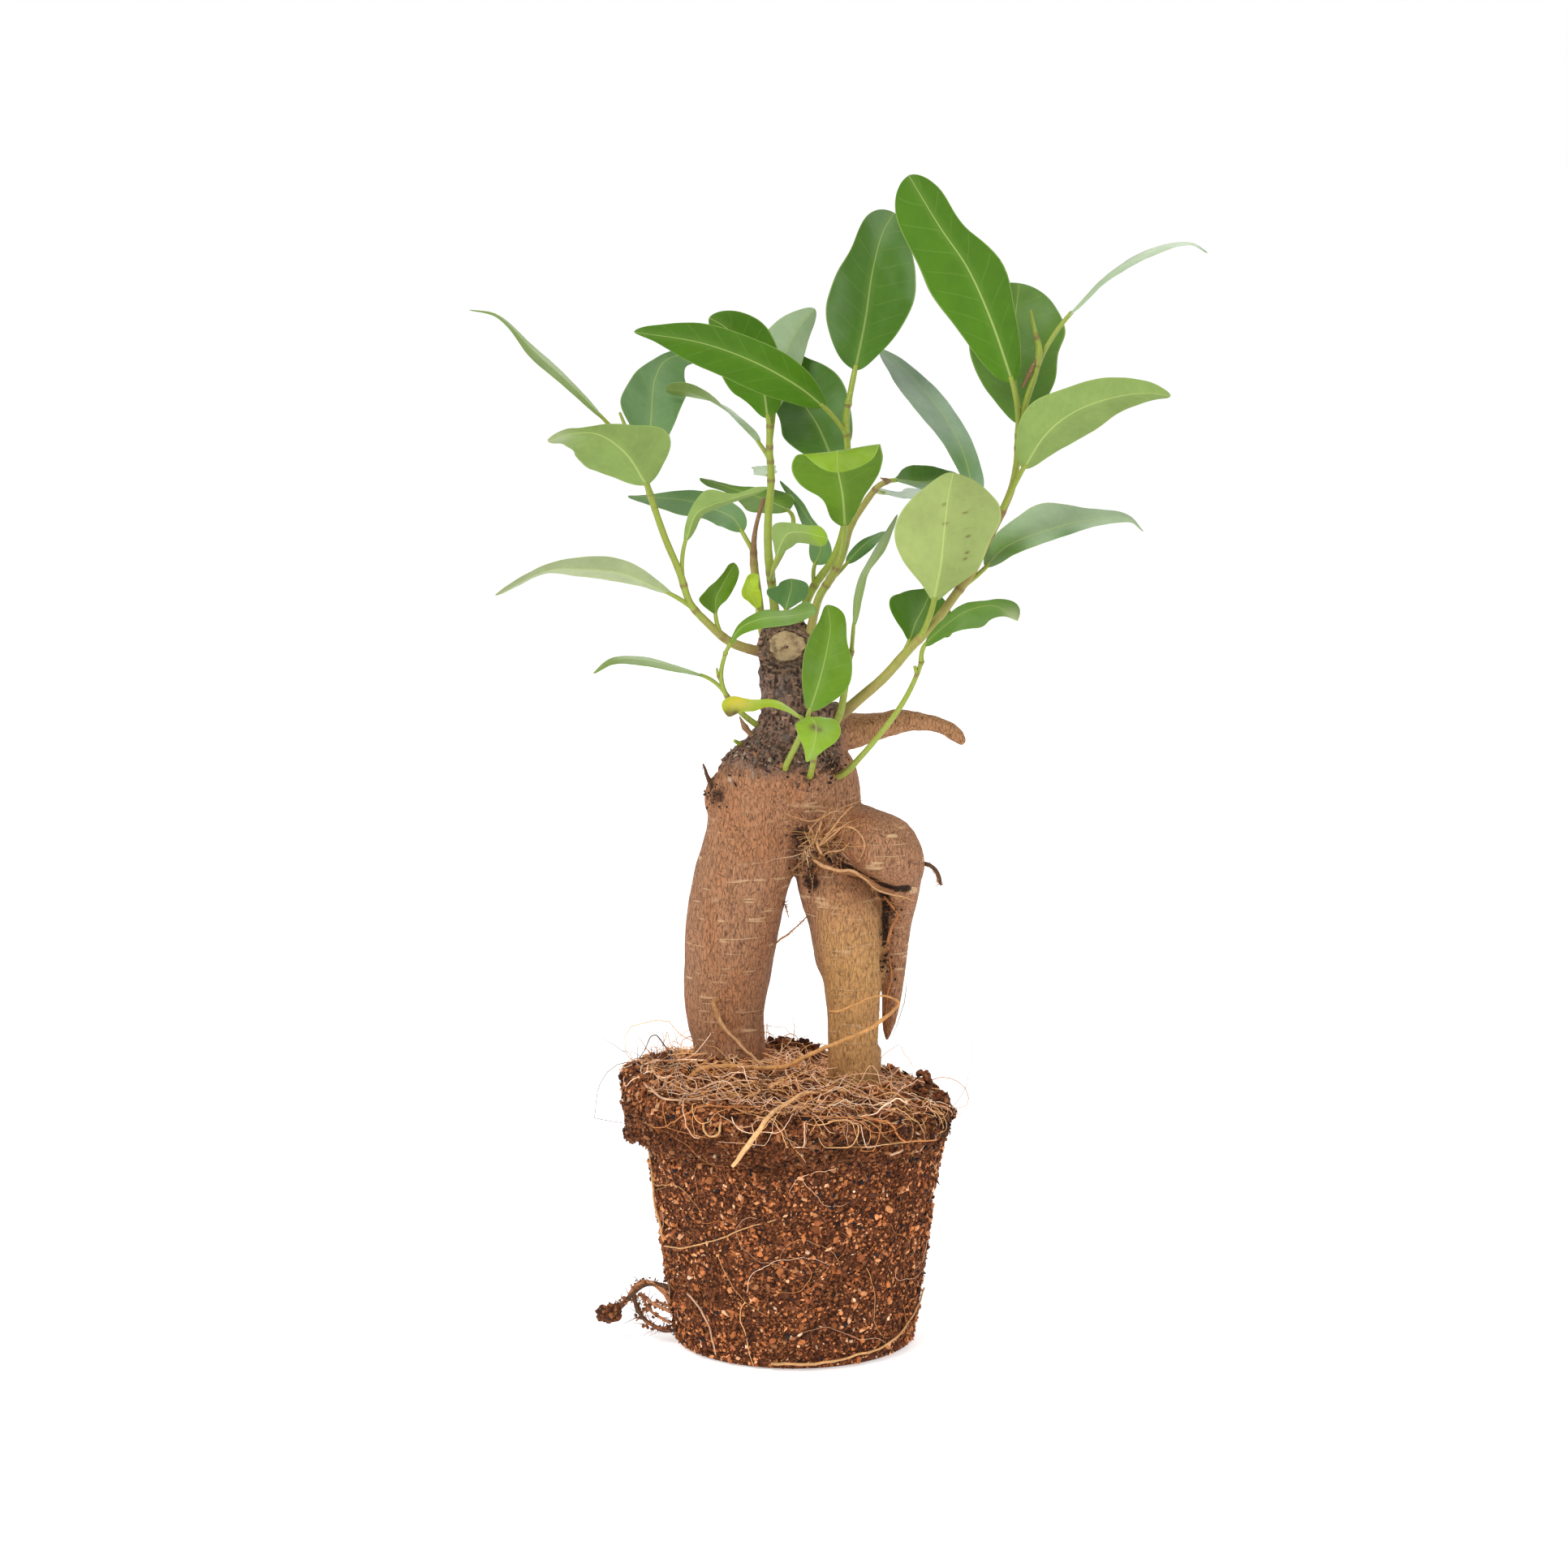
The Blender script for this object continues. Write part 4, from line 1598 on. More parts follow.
def offshoots(
    strands: Sequence[Strand], count: int, length: tuple[float, float], thick: float, curl: float,
    tints: Sequence[Colour], rng: Rng,
) -> Shape:
    """Fine side fibres that leave a few rods at random.

    Args:
        strands: The rods they leave.
        count: How many in all.
        length: Shortest and longest, in millimetres.
        thick: Radius at the foot.
        curl: How much they turn at each step.
        tints: Colours to choose from.
        rng: Source of the random choices.

    Returns:
        One shape with all the fibres.
    """
    steps = 12
    rods = np.stack([spline(s.path, 50) for s in strands])
    pick = rng.integers(0, len(rods), count)
    place = rng.integers(3, 47, count)
    starts = rods[pick, place]
    along = unit(rods[pick, place + 2] - starts)
    heading = unit(0.5 * along * rng.choice([-1, 1], (count, 1)) + unit(rng.normal(size=(count, 3))))
    paths = wander(starts, heading, rng.uniform(*length, count), steps, curl, rng)
    radii = thick * rng.uniform(0.6, 1.2, (count, 1)) * np.linspace(1, 0.3, steps)
    tint = np.array(tints)[rng.integers(0, len(tints), count)] * rng.uniform(0.7, 1.15, (count, 1))
    return tubes(paths, radii, 5, tinted(tint, steps))


def grains(
    centres: np.ndarray, normals: np.ndarray, sizes: np.ndarray, tints: np.ndarray,
    rng: Rng, fine: bool = False,
) -> Shape:
    """Irregular chips laid roughly flat on a surface.

    A solid of twenty faces, or of eight for fine grit, is roughened at its corners, stretched to
    three sizes and turned about the surface's normal with a random tilt.

    Args:
        centres: Middle of each chip, shaped (n, 3).
        normals: Surface normal at each.
        sizes: Half sizes along, across and up, shaped (n, 3).
        tints: Colour of each.
        rng: Source of the random turns.
        fine: Whether to take the solid of eight faces.

    Returns:
        One shape with all the chips.
    """
    golden = (1 + np.sqrt(5)) / 2
    corner = [(-1, golden, 0), (1, golden, 0), (-1, -golden, 0), (1, -golden, 0)]
    corners = unit(np.array([np.roll(c, k) for k in (0, 1, 2) for c in corner], float))
    faces = np.array(
        [
            (0, 11, 5), (0, 5, 1), (0, 1, 7), (0, 7, 10), (0, 10, 11), (1, 5, 9), (5, 11, 4), (11, 10, 2),
            (10, 7, 6), (7, 1, 8), (3, 9, 4), (3, 4, 2), (3, 2, 6), (3, 6, 8), (3, 8, 9), (4, 9, 5),
            (2, 4, 11), (6, 2, 10), (8, 6, 7), (9, 8, 1),
        ]
    )
    if fine:
        corners = np.vstack([np.eye(3), -np.eye(3)])
        corner_pairs = [(0, 1), (1, 3), (3, 4), (4, 0)]
        faces = np.array([(a, b, 2) for a, b in corner_pairs] + [(b, a, 5) for a, b in corner_pairs])
    count, many = len(centres), len(corners)
    lump = corners[None] * rng.uniform(0.7, 1.25, (count, many, 1)) * sizes[:, None]
    up = unit(normals + rng.normal(size=(count, 3)) * 0.35)
    side = unit(np.cross(up, unit(rng.normal(size=(count, 3)))))
    frame_axes = np.stack([side, np.cross(up, side), up], 1)
    points = centres[:, None] + np.einsum("nka,nab->nkb", lump, frame_axes)
    triangles = (faces[None] + many * np.arange(count)[:, None, None]).reshape(-1, 3)
    tint = np.repeat(tints, many, 0)
    return Shape(points.reshape(-1, 3), triangles=triangles, values={"tint": tint})


@dataclass
class Rootlets:
    """Dead fibres, dirt and hairs that cling to the trunk.

    Attributes:
        limbs: The limbs that the finest roots lie on.
        roots: Thicker roots that hold a form of their own.
        fibres: Named fibres in the fork, between the legs and at the sides.
        hairs: Single pale hairs.
        dirt: Points where soil crumbs stick.
    """

    limbs: Sequence[Limb]
    roots: Sequence[Strand]
    fibres: Sequence[Strand]
    hairs: Sequence[Strand]
    dirt: Sequence[Point]

    def front(self, points: np.ndarray) -> np.ndarray:
        """Depth of the frontmost bark behind points seen from the front.

        Each limb is taken as a row of balls.

        Args:
            points: Points shaped (n, 3), of which only the first and last numbers are read.

        Returns:
            The depths, or the points' own where no limb lies behind them.
        """
        rows = [drawn(limb.path, limb.radii, 60) for limb in self.limbs]
        middles = np.concatenate([path for path, _ in rows])
        sizes = np.concatenate([radius for _, radius in rows])
        flat = (points[:, None, [0, 2]] - middles[None][..., [0, 2]]) ** 2
        room = sizes**2 - flat.sum(-1)
        depth = np.where(room > 0, middles[:, 1] - np.sqrt(np.maximum(room, 0)), 99.0).min(1)
        return np.where(depth < 90, depth, points[:, 1])

    def spray(self, count: int, rng: Rng) -> Shape:
        """Fine pale roots that fan out from the fork and lie on the bulge.

        Args:
            count: How many.
            rng: Source of the random choices.

        Returns:
            One shape with all of them.
        """
        steps = 18
        starts = np.array([8.0, -10, 175]) + rng.normal(size=(count, 3)) * (2.2, 0.3, 2.2)
        upward = rng.random(count) < 0.75
        degrees = np.where(upward, rng.uniform(-45, 85, count), rng.uniform(85, 330, count))
        angle = np.radians(degrees)
        headings = np.stack([np.cos(angle), np.zeros(count), np.sin(angle)], -1)
        paths = wander(starts, headings, rng.uniform(4, 19, count), steps, 0.15, rng)
        share = np.linspace(0, 1, steps)
        lift = 0.3 + rng.exponential(0.8, (count, 1)) * np.sin(np.pi * share)
        depth = self.front(paths.reshape(-1, 3)).reshape(count, steps) - lift
        paths[..., 1] = (depth + np.roll(depth, 1, 1) * (share > 0) + depth * (share == 0)) / 2
        radii = rng.uniform(0.1, 0.26, (count, 1)) * (1 - 0.6 * share)
        tones = [ROOT_TAN, ROOT_PINK, ROOT_RUST, srgb(226, 190, 150)]
        tint = toned(tones, [0.4, 0.2, 0.2, 0.2], count, (0.5, 1.1), rng)
        return tubes(paths, radii, 6, tinted(tint, steps))

    def build(self) -> None:
        """Make the pieces."""
        rng = np.random.default_rng(SEED)
        own = np.array([srgb(176, 128, 84), srgb(144, 98, 64), ROOT_DARK, ROOT_DARK])
        fibre = TintFinish("root_fibre", 1.2, 0.6, 0.12).material()
        place_piece("trunk_roots", strands_shape(self.roots, own, sides=10), fibre, Slot.ROOT, "trunk")
        tints = np.array([srgb(196, 150, 106)] * 8 + [ROOT_RUST, ROOT_DARK, ROOT_RUST] * 4)
        parts = [
            strands_shape(self.fibres, tints[: len(self.fibres)]),
            offshoots(self.fibres[1:10], 120, (3, 10), 0.1, 0.2, [ROOT_RUST, ROOT_TAN, ROOT_RUST], rng),
            self.spray(90, rng),
            offshoots(self.fibres[10:], 110, (1.5, 5), 0.1, 0.4, [ROOT_DARK, ROOT_RUST], rng),
        ]
        place_piece("trunk_fibres", Shape.join(parts), fibre, Slot.ROOT)
        grey = np.repeat(np.array([ROOT_GREY]), len(self.hairs), 0)
        place_piece("loose_hairs", strands_shape(self.hairs, grey, sides=6), fibre, Slot.ROOT)
        spots = np.array(self.dirt)
        count = 520
        centres = spots[rng.integers(0, len(spots), count)] + rng.normal(size=(count, 3)) * 1.9
        dark = np.array([srgb(46, 36, 34), srgb(78, 54, 42), srgb(112, 76, 52)])
        sizes = rng.uniform(0.2, 0.6, (count, 3))
        ways = unit(rng.normal(size=(count, 3)))
        crumbs = grains(centres, ways, sizes, dark[rng.integers(0, 3, count)], rng)
        soil = TintFinish("dirt", 0.7, 0.8, 0.2).material()
        place_piece("trunk_dirt", crumbs, soil, Slot.SOIL)


@dataclass
class RootBall:
    """The cast of a tapered nursery pot: crumbly wall, stepped lip, heaped and tilted top.

    Attributes:
        strands: Roots that lie on it, thick enough to be seen one by one.
        lumps: Middle and half sizes of the lumps of crumbs that stand clear of it.
        foot: Radius of the flat underside.
        shoulder: Radius under the lip.
        lip: Radius of the lip.
        lip_bottom: Height where the lip starts.
        height: Height of the rim before heaps and tilt.
        shift: Sideways shift of the lip.
        slope: Rise of the top for each millimetre to the right.
        heaps: Middle, height and spread of the soil round the legs.
        sides: Sides of the crumbly body.
        strewn: Name and figures of each strewing of chips or grit.
        mats: Name and figures of each growth of fine roots.
    """

    strands: Sequence[Strand]
    lumps: Sequence[tuple[Point, Point]]
    foot: float = 42.3
    shoulder: float = 51.5
    lip: float = 56.0
    lip_bottom: float = 73.0
    height: float = 89.5
    shift: float = -2.5
    slope: float = -0.1
    heaps: Sequence[tuple[float, float, float, float]] = (
        (-22, 4, 8, 14), (21, -2, 3, 13), (-1, 44, 5, 9),
    )
    sides: int = 300
    strewn: Sequence[tuple[Any, ...]] = (
        ("wall_chips", 6200, 0.205, 0.7, 0.88, 1), ("wall_grit", 12500, 0.205, 0.7, 0.64, 2, True),
        ("top_chips", 4600, 0.66, 0.97, 1.0, 3), ("top_grit", 7000, 0.66, 0.97, 0.64, 8, True),
    )
    mats: Sequence[tuple[Any, ...]] = (
        ("rim_mat", 250, 0.71, 0.8, 5, 0.14, 0.9), ("crown_mat", 280, 0.75, 0.95, 6, 0.17, 2.4),
        ("wall_roots", 60, 0.22, 0.64, 7, 0.1, 0.25),
    )

    def profile(self) -> tuple[np.ndarray, np.ndarray, np.ndarray]:
        """Outline from the middle of the underside, up the wall, to the middle of the top.

        Returns:
            Radius, height and run of each point.
        """
        outline = np.array(
            [
                (0, 0), (self.foot - 2.5, 0), (self.foot - 0.7, 0.8), (self.foot, 2.5),
                (self.shoulder, self.lip_bottom - 1), (self.lip - 1.6, self.lip_bottom + 1),
                (self.lip, self.lip_bottom + 4), (self.lip, self.height - 4),
                (self.lip - 0.8, self.height - 1.8), (self.lip - 2.4, self.height - 0.4),
                (self.lip - 6, self.height), (0, self.height),
            ]
        )
        return outline[:, 0], outline[:, 1], run_along(outline)

    def surface(self, angle: np.ndarray, run: np.ndarray) -> np.ndarray:
        """Point of the smooth root ball.

        A profile is turned about the axis. Above the lip's foot it is shifted sideways, and its top
        is raised by a tilt and by three soft heaps.

        Args:
            angle: Angle about the axis, 0 at the front.
            run: Length along the profile from the middle of the underside.

        Returns:
            The points, with a last axis of three.
        """
        radius, level, length = self.profile()
        r = np.interp(run, length, radius)
        z = np.interp(run, length, level)
        x = r * np.sin(angle) + smoothstep(self.lip_bottom, self.lip_bottom + 2, z) * self.shift
        y = -r * np.cos(angle)
        on_top = smoothstep(self.lip_bottom, self.height, z)
        rise = self.slope * x
        for at_x, at_y, high, spread in self.heaps:
            rise = rise + high * np.exp(-((x - at_x) ** 2 + (y - at_y) ** 2) / (2 * spread**2))
        return np.stack([x, y, z + on_top * rise], -1)

    def normal(self, angle: np.ndarray, run: np.ndarray) -> np.ndarray:
        """Outward normal, from the steps to two close points.

        Args:
            angle: Angle about the axis.
            run: Length along the profile.

        Returns:
            The normals.
        """
        round_step = self.surface(angle + 0.01, run) - self.surface(angle - 0.01, run)
        up_step = self.surface(angle, run + 0.5) - self.surface(angle, run - 0.5)
        return unit(np.cross(round_step, up_step))

    def roughened(self, points: np.ndarray) -> np.ndarray:
        """Height of the crumb relief: lumps, crumbs and grit.

        Args:
            points: Points in millimetres.

        Returns:
            Heights in millimetres, none on the underside.
        """
        x, y, z = points[..., 0], points[..., 1], points[..., 2]
        angle = np.arctan2(x - self.shift, -y)
        upper = smoothstep(self.lip_bottom - 4, self.lip_bottom + 6, z)
        lumps = 0.8 * np.sin(7 * angle + 0.31 * z) * np.sin(11 * angle - 0.23 * z)
        lumps = lumps + (0.6 + 1.1 * upper) * cloud(points, 9, 2, 41)
        lumps = lumps + 0.9 * upper * cloud(points, 4.5, 1, 47)
        crumbs = 1.0 * cloud(points, 2.4, 2, 43) + 0.45 * np.abs(cloud(points, 1.1, 1, 45))
        return (lumps * (0.6 + 0.6 * upper) + crumbs - 0.6) * smoothstep(0.3, 3.0, z)

    def body(self) -> Shape:
        """The crumbly body.

        Returns:
            The closed shape.
        """
        total = self.profile()[2][-1]
        run = np.concatenate([np.linspace(0.02, 0.21, 12), np.linspace(0.215, 0.985, 138)]) * total
        angle, length = np.meshgrid(circle(self.sides), run)
        smooth = self.surface(angle, length)
        rough = smooth + self.normal(angle, length) * self.roughened(smooth)[..., None]
        rough[..., 2] = np.maximum(rough[..., 2], 0.0)
        ends = np.stack([[0, 0, 0], rough[-1].mean(0)]).astype(float)
        return loft(rough[None], ends[None], {})

    def chips(
        self, count: int, low: float, high: float, scale: float, seed: int, fine: bool = False
    ) -> Shape:
        """Coir chips strewn over a part of the profile.

        Args:
            count: How many.
            low: Where the part starts, as a share of the profile.
            high: Where it ends.
            scale: Size of the chips.
            seed: Which strewing.
            fine: Whether they are grit of eight faces.

        Returns:
            One shape with all the chips.
        """
        rng = np.random.default_rng(SEED + seed)
        radius, _, length = self.profile()
        run = rng.uniform(low, high, count * 3) * length[-1]
        wide = np.interp(run, length, radius)
        keep = rng.uniform(0, self.lip, count * 3) < wide
        run = run[keep][:count]
        angle = rng.uniform(0, 2 * np.pi, len(run))
        points = self.surface(angle, run)
        normals = self.normal(angle, run)
        sizes = scale * np.minimum(rng.lognormal(0, 0.34, (len(run), 1)), 1.9)
        sizes = sizes * rng.uniform((0.5, 0.35, 0.25), (1.4, 0.9, 0.6), (len(run), 3))
        points = points + normals * (self.roughened(points) + rng.uniform(-0.35, 0.4, len(run)))[:, None]
        points[:, 2] = np.maximum(points[:, 2], 1.3 * sizes.max(1) + 0.2)
        shades = np.array([
            srgb(170, 104, 60), srgb(194, 130, 84), srgb(144, 84, 50), srgb(106, 62, 40),
            srgb(212, 160, 118), srgb(70, 42, 30), srgb(34, 34, 40), srgb(228, 192, 158),
        ])
        odds = [0.27, 0.19, 0.19, 0.11, 0.05, 0.12, 0.06, 0.01]
        tints = shades[rng.choice(len(shades), len(run), p=odds)]
        tints = tints * np.minimum(rng.lognormal(0.3, 0.26, (len(run), 1)), 1.7)
        level = points[:, 2:3]
        tints = tints * (1 - 0.5 * smoothstep(0.25, 0.7, cloud(points, 8, 2, 71)))[:, None]
        tints = tints * (1 - 0.6 * smoothstep(self.lip_bottom - 6, self.lip_bottom + 2, level))
        tints = tints * (1 + 0.9 * smoothstep(self.lip_bottom + 9, self.height + 1, level))
        return grains(points, normals, sizes, tints, rng, fine)

    def mat(self, count: int, low: float, high: float, seed: int, thick: float, loose: float) -> Shape:
        """Fine roots that wander over the surface, some lifting off it in loops.

        Each root is a walk on the unrolled surface. Its heading drifts at random, and its run and
        angle are the running sums of the steps.

        Args:
            count: How many.
            low: Where they start, as a share of the profile.
            high: Where the starting part ends.
            seed: Which growth.
            thick: Radius of a middling root.
            loose: How far the loops lift off.

        Returns:
            One shape with all the roots.
        """
        rng = np.random.default_rng(SEED + seed)
        steps = 26
        radius, _, length = self.profile()
        total = length[-1]
        step = rng.uniform(0.6, 2.0, (count, 1))
        bend = rng.normal(size=(count, 1)) * 0.08 + rng.normal(size=(count, steps)) * 0.2
        heading = rng.uniform(0, 2 * np.pi, (count, 1)) + np.cumsum(bend, 1)
        run = rng.uniform(low, high, (count, 1)) * total + np.cumsum(step * np.cos(heading), 1)
        run = np.clip(run, min(low, 0.67) * total, 0.965 * total)
        wide = np.maximum(np.interp(run, length, radius), 8)
        angle = rng.uniform(0, 2 * np.pi, (count, 1)) + np.cumsum(step * np.sin(heading) / wide, 1)
        points = self.surface(angle, run)
        normals = self.normal(angle, run)
        share = np.linspace(0, 1, steps)
        arch = rng.exponential(loose, (count, 1)) * np.sin(np.pi * share) ** 2
        ends = rng.exponential(loose * 0.5, (count, 1)) * smoothstep(0.7, 1.0, share)
        lift = 0.35 + arch + ends + 0.4 * np.abs(cloud(points, 6, 1, 51))
        points = points + normals * (np.maximum(self.roughened(points), -0.2) + lift)[..., None]
        points[..., 2] = np.maximum(points[..., 2], 0.8)
        radii = thick * rng.lognormal(0, 0.34, (count, 1)) * (1 - 0.6 * share**2)
        tones = [ROOT_TAN, ROOT_PINK, ROOT_RUST, srgb(236, 204, 174), ROOT_DARK]
        tint = toned(tones, [0.32, 0.26, 0.17, 0.16, 0.09], count, (1.1, 1.8), rng)
        return tubes(points, radii, 4, tinted(tint, steps))

    def build(self) -> None:
        """Make the root ball's pieces."""
        soil = SoilFinish().material()
        chip = TintFinish("chip", 1.1, 0.7, 0.15).material()
        fibre = TintFinish("root_mat", 1.5, 0.55, 0.08).material()
        place_piece("soil_body", self.body(), soil, Slot.SOIL, "soil_plug")
        for name, *figures in self.strewn:
            place_piece(name, self.chips(*figures), chip, Slot.SOIL)
        rng = np.random.default_rng(SEED + 4)
        place_piece("clods", self.clods(900, rng), chip, Slot.SOIL, "soil_plug")
        pale = [srgb(208, 152, 94), srgb(242, 190, 132)]
        tints = np.array(pale + [ROOT_PINK, ROOT_TAN] * 5 + [ROOT_TAN] + [ROOT_DARK] * 2)
        place_piece("named_roots", strands_shape(self.strands, tints, 60, 8), fibre, Slot.ROOT, "soil_plug")
        for name, *figures in self.mats:
            place_piece(name, self.mat(*figures), fibre, Slot.ROOT)
        place_piece("rim_wisps", self.wisps(90, rng), fibre, Slot.ROOT)
        place_piece("foot_tuft", self.tuft(rng), fibre, Slot.ROOT)

    def clods(self, count: int, rng: Rng) -> Shape:
        """Crumbs heaped into the lumps that stand clear of the root ball.

        Args:
            count: How many crumbs.
            rng: Source of the random choices.

        Returns:
            One shape with all of them.
        """
        lumps = np.array([at for at, _ in self.lumps], float)
        halves = np.array([size for _, size in self.lumps], float)
        pick = rng.integers(0, len(lumps), count)
        way = unit(rng.normal(size=(count, 3)))
        centres = lumps[pick] + way * halves[pick] * rng.uniform(0.3, 1.0, (count, 1)) ** 0.5
        brown = np.array([srgb(122, 70, 42), srgb(96, 58, 38), srgb(148, 96, 62), srgb(66, 44, 34)])
        sizes = rng.uniform(0.5, 1.4, (count, 3))
        return grains(centres, way, sizes, brown[rng.integers(0, 4, count)], rng)

    def wisps(self, count: int, rng: Rng) -> Shape:
        """Hair roots that stand off the rim, most of them at the left.

        Args:
            count: How many.
            rng: Source of the random choices.

        Returns:
            One shape with all of them.
        """
        steps = 14
        at_left = rng.random(count) < 0.5
        angle = np.where(at_left, rng.normal(-1.35, 0.45, count), rng.uniform(-np.pi, np.pi, count))
        run = rng.uniform(0.71, 0.8, count) * self.profile()[2][-1]
        starts = self.surface(angle, run)
        out = unit(self.normal(angle, run) + rng.normal(size=(count, 3)) * 0.5 + (0, 0, 0.4))
        paths = wander(starts, out, rng.uniform(5, 14, count), steps, 0.14, rng)
        radii = rng.uniform(0.08, 0.16, (count, 1)) * np.linspace(1, 0.5, steps)
        tones = np.array([ROOT_GREY, ROOT_PINK, ROOT_TAN])
        return tubes(paths, radii, 5, tinted(tones[rng.integers(0, 3, count)], steps))

    def tuft(self, rng: Rng) -> Shape:
        """Dead brown roots and crumbs at the left of the foot.

        Args:
            rng: Source of the random choices.

        Returns:
            One shape with all of them.
        """
        tints = [srgb(116, 72, 50), ROOT_DARK, srgb(150, 100, 70)]
        brown = np.array([srgb(178, 118, 80), srgb(196, 138, 98), srgb(146, 94, 64)])
        thick = strands_shape(TUFT, brown[np.arange(len(TUFT)) % 3], 30, 8)
        fibres = offshoots(TUFT, 90, (2, 7), 0.16, 0.25, tints, rng)
        count = 170
        rods = np.concatenate([spline(s.path, 30) for s in TUFT])
        spread = rng.normal(size=(count, 3)) * 0.8
        centres = rods[rng.integers(0, len(rods), count)] + spread * 0.8
        earth = np.array([srgb(132, 84, 56), srgb(98, 64, 46), srgb(158, 106, 72)])
        tint = earth[rng.integers(0, 3, count)]
        crumbs = grains(centres, unit(spread), rng.uniform(0.25, 0.9, (count, 3)), tint, rng)
        whole = Shape.join([thick, fibres, crumbs])
        whole.points[:, 2] = np.maximum(whole.points[:, 2], 0.3)
        return whole


@dataclass
class Greenery:
    """One shoot: stems with nodes, leaf stalks and blades.

    Attributes:
        name: The shoot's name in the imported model.
        shoot: Its figures.
        rows: Rows of a blade from foot to tip.
        sides: Points round a blade's section.
        finer: How many times more of both a blade with small marks has.
        thickness: Greatest thickness of a blade.
    """

    name: str
    shoot: Shoot
    rows: int = 50
    sides: int = 36
    finer: int = 2
    thickness: float = 0.42

    @staticmethod
    def half_width(share: np.ndarray, widths: Sequence[float]) -> np.ndarray:
        """Half width of a blade along its midrib, eased through its stations.

        The shares s are turned into angles arccos(1 - 2 s), in which a round end is a straight
        slope. Between two stations runs the cubic that has the mean slopes of their neighbours.

        Args:
            share: Shares of the midrib.
            widths: Half widths at the stations.

        Returns:
            One half width for each share.
        """
        turns = np.arccos(1 - 2 * np.array([0.0, *STATIONS, 1.0]))
        values = np.array([0.0, *widths, 0.0])
        wide = np.arange(len(values))
        low, high = np.maximum(wide - 1, 0), np.minimum(wide + 1, len(values) - 1)
        slopes = (values[high] - values[low]) / (turns[high] - turns[low])
        place = np.arccos(1 - 2 * share)
        k = np.clip(np.searchsorted(turns, place, "right") - 1, 0, len(values) - 2)
        span = turns[k + 1] - turns[k]
        t = (place - turns[k]) / span
        ease = t * t * (3 - 2 * t)
        swing = slopes[k] * t * (1 - t) ** 2 - slopes[k + 1] * t * t * (1 - t)
        return values[k] + (values[k + 1] - values[k]) * ease + span * swing

    def blade(self, leaf: Blade, seed: int) -> Shape:
        """Skin one leaf.

        Every section is a flat lens whose halves rise from the midrib, as wide to each side as its
        stations say and never less than a thin pointed tip. The margin waves and the side veins
        are pressed lightly into the face.

        Args:
            leaf: The leaf's figures.
            seed: Which waves it has.

        Returns:
            The closed blade with the values that the finish reads.
        """
        finer = self.finer if any(mark.size < 1 for mark in leaf.marks) else 1
        rows, sides = self.rows * finer, self.sides * finer
        share = (1 - np.cos(np.pi * np.linspace(0.012, 0.992, rows))) / 2
        rib, length = along_curve(leaf.rib, share)
        tangent = unit(np.gradient(rib, axis=0))
        chord = unit(np.subtract(leaf.rib[-1], leaf.rib[0]).astype(float))
        flat_side = unit(np.cross(chord, [0.0, -1, 0]))
        turned = np.cross(chord, flat_side)
        angle = np.radians(leaf.roll + leaf.twist * (share - 0.5))[:, None]
        side = flat_side * np.cos(angle) + turned * np.sin(angle)
        side = unit(side - tangent * (side * tangent).sum(1, keepdims=True))
        up = np.cross(side, tangent)
        least = np.interp(share, [0, 0.9, 1], [0.6, 0.45, 0.05])
        both = [np.maximum(self.half_width(share, widths), 0) for widths in (leaf.left, leaf.right)]
        left, right = (np.sqrt(one**2 + least**2)[:, None] for one in both)
        half = (left + right)[:, 0] / 2
        turn = circle(sides)
        reach = np.cos(turn)
        out = np.where(reach < 0, left, right) * reach
        soft = 0.12 * half[:, None]
        rising = np.sqrt(out**2 + soft**2) - soft
        fold = np.radians(leaf.fold)
        phase = 1.7 * seed
        s = share[:, None]
        wave = np.sin(2 * np.pi * 1.6 * s + phase + 1.2 * np.sign(reach))
        wave = wave + 0.5 * np.sin(2 * np.pi * 3.3 * s - phase)
        margin = leaf.wave * leaf.width * 0.35 * wave * reach**2
        margin = margin * smoothstep(0, 0.2, s) * smoothstep(1, 0.8, s)
        vein = 8.5 * s - 1.5 * np.abs(reach) * (1 - 0.45 * s) + 0.25 * np.sign(reach)
        press = 0.05 * np.cos(2 * np.pi * vein) * np.abs(reach) ** 0.5 * min(1.0, leaf.width / 20)
        body = self.thickness * np.minimum(1, half / 1.5)[:, None]
        rib_width = (0.14 + 0.008 * leaf.width) * (1.25 - 0.95 * s)
        lower_rib = 0.4 * bell(out, 1.6 * rib_width) * (1 - 0.7 * s)
        face = np.where(np.sin(turn) > 0.05, 1.0, 0.0)
        layer = -np.sin(turn) * body / 2 + np.where(np.sin(turn) > 0, -lower_rib, 0.12 * bell(out, 0.5))
        lift = rising * np.sin(fold) + margin + press + layer
        spread = side[:, None] * (out * np.cos(fold))[..., None]
        points = rib[:, None] + spread + up[:, None] * lift[..., None]
        tint = np.where(face[:, None] > 0, leaf.under.value, leaf.upper.value)
        tint = np.repeat(tint[None], rows, 0) * (1 + 0.06 * np.tanh(out)[..., None])
        tint = tint * (1.08 - 0.16 * s[..., None])
        along_mm = s * length
        for mark in leaf.marks:
            beside = out - half[:, None] * mark.across
            blot = bell(np.hypot(along_mm - mark.along * length, beside), mark.size)[..., None]
            tint = tint * (1 - blot) + np.array(mark.tone.value) * blot
        values = {
            "face": np.repeat(face[None], rows, 0),
            "across": out,
            "line": np.abs(out) / rib_width,
            "vein": vein,
            "rim": np.repeat(np.abs(reach)[None], rows, 0),
            "tint": tint,
        }
        ends = np.stack([rib[0] - tangent[0] * 0.3, rib[-1] + tangent[-1] * 0.15])
        return loft(points[None], ends[None], {n: v[None] for n, v in values.items()})

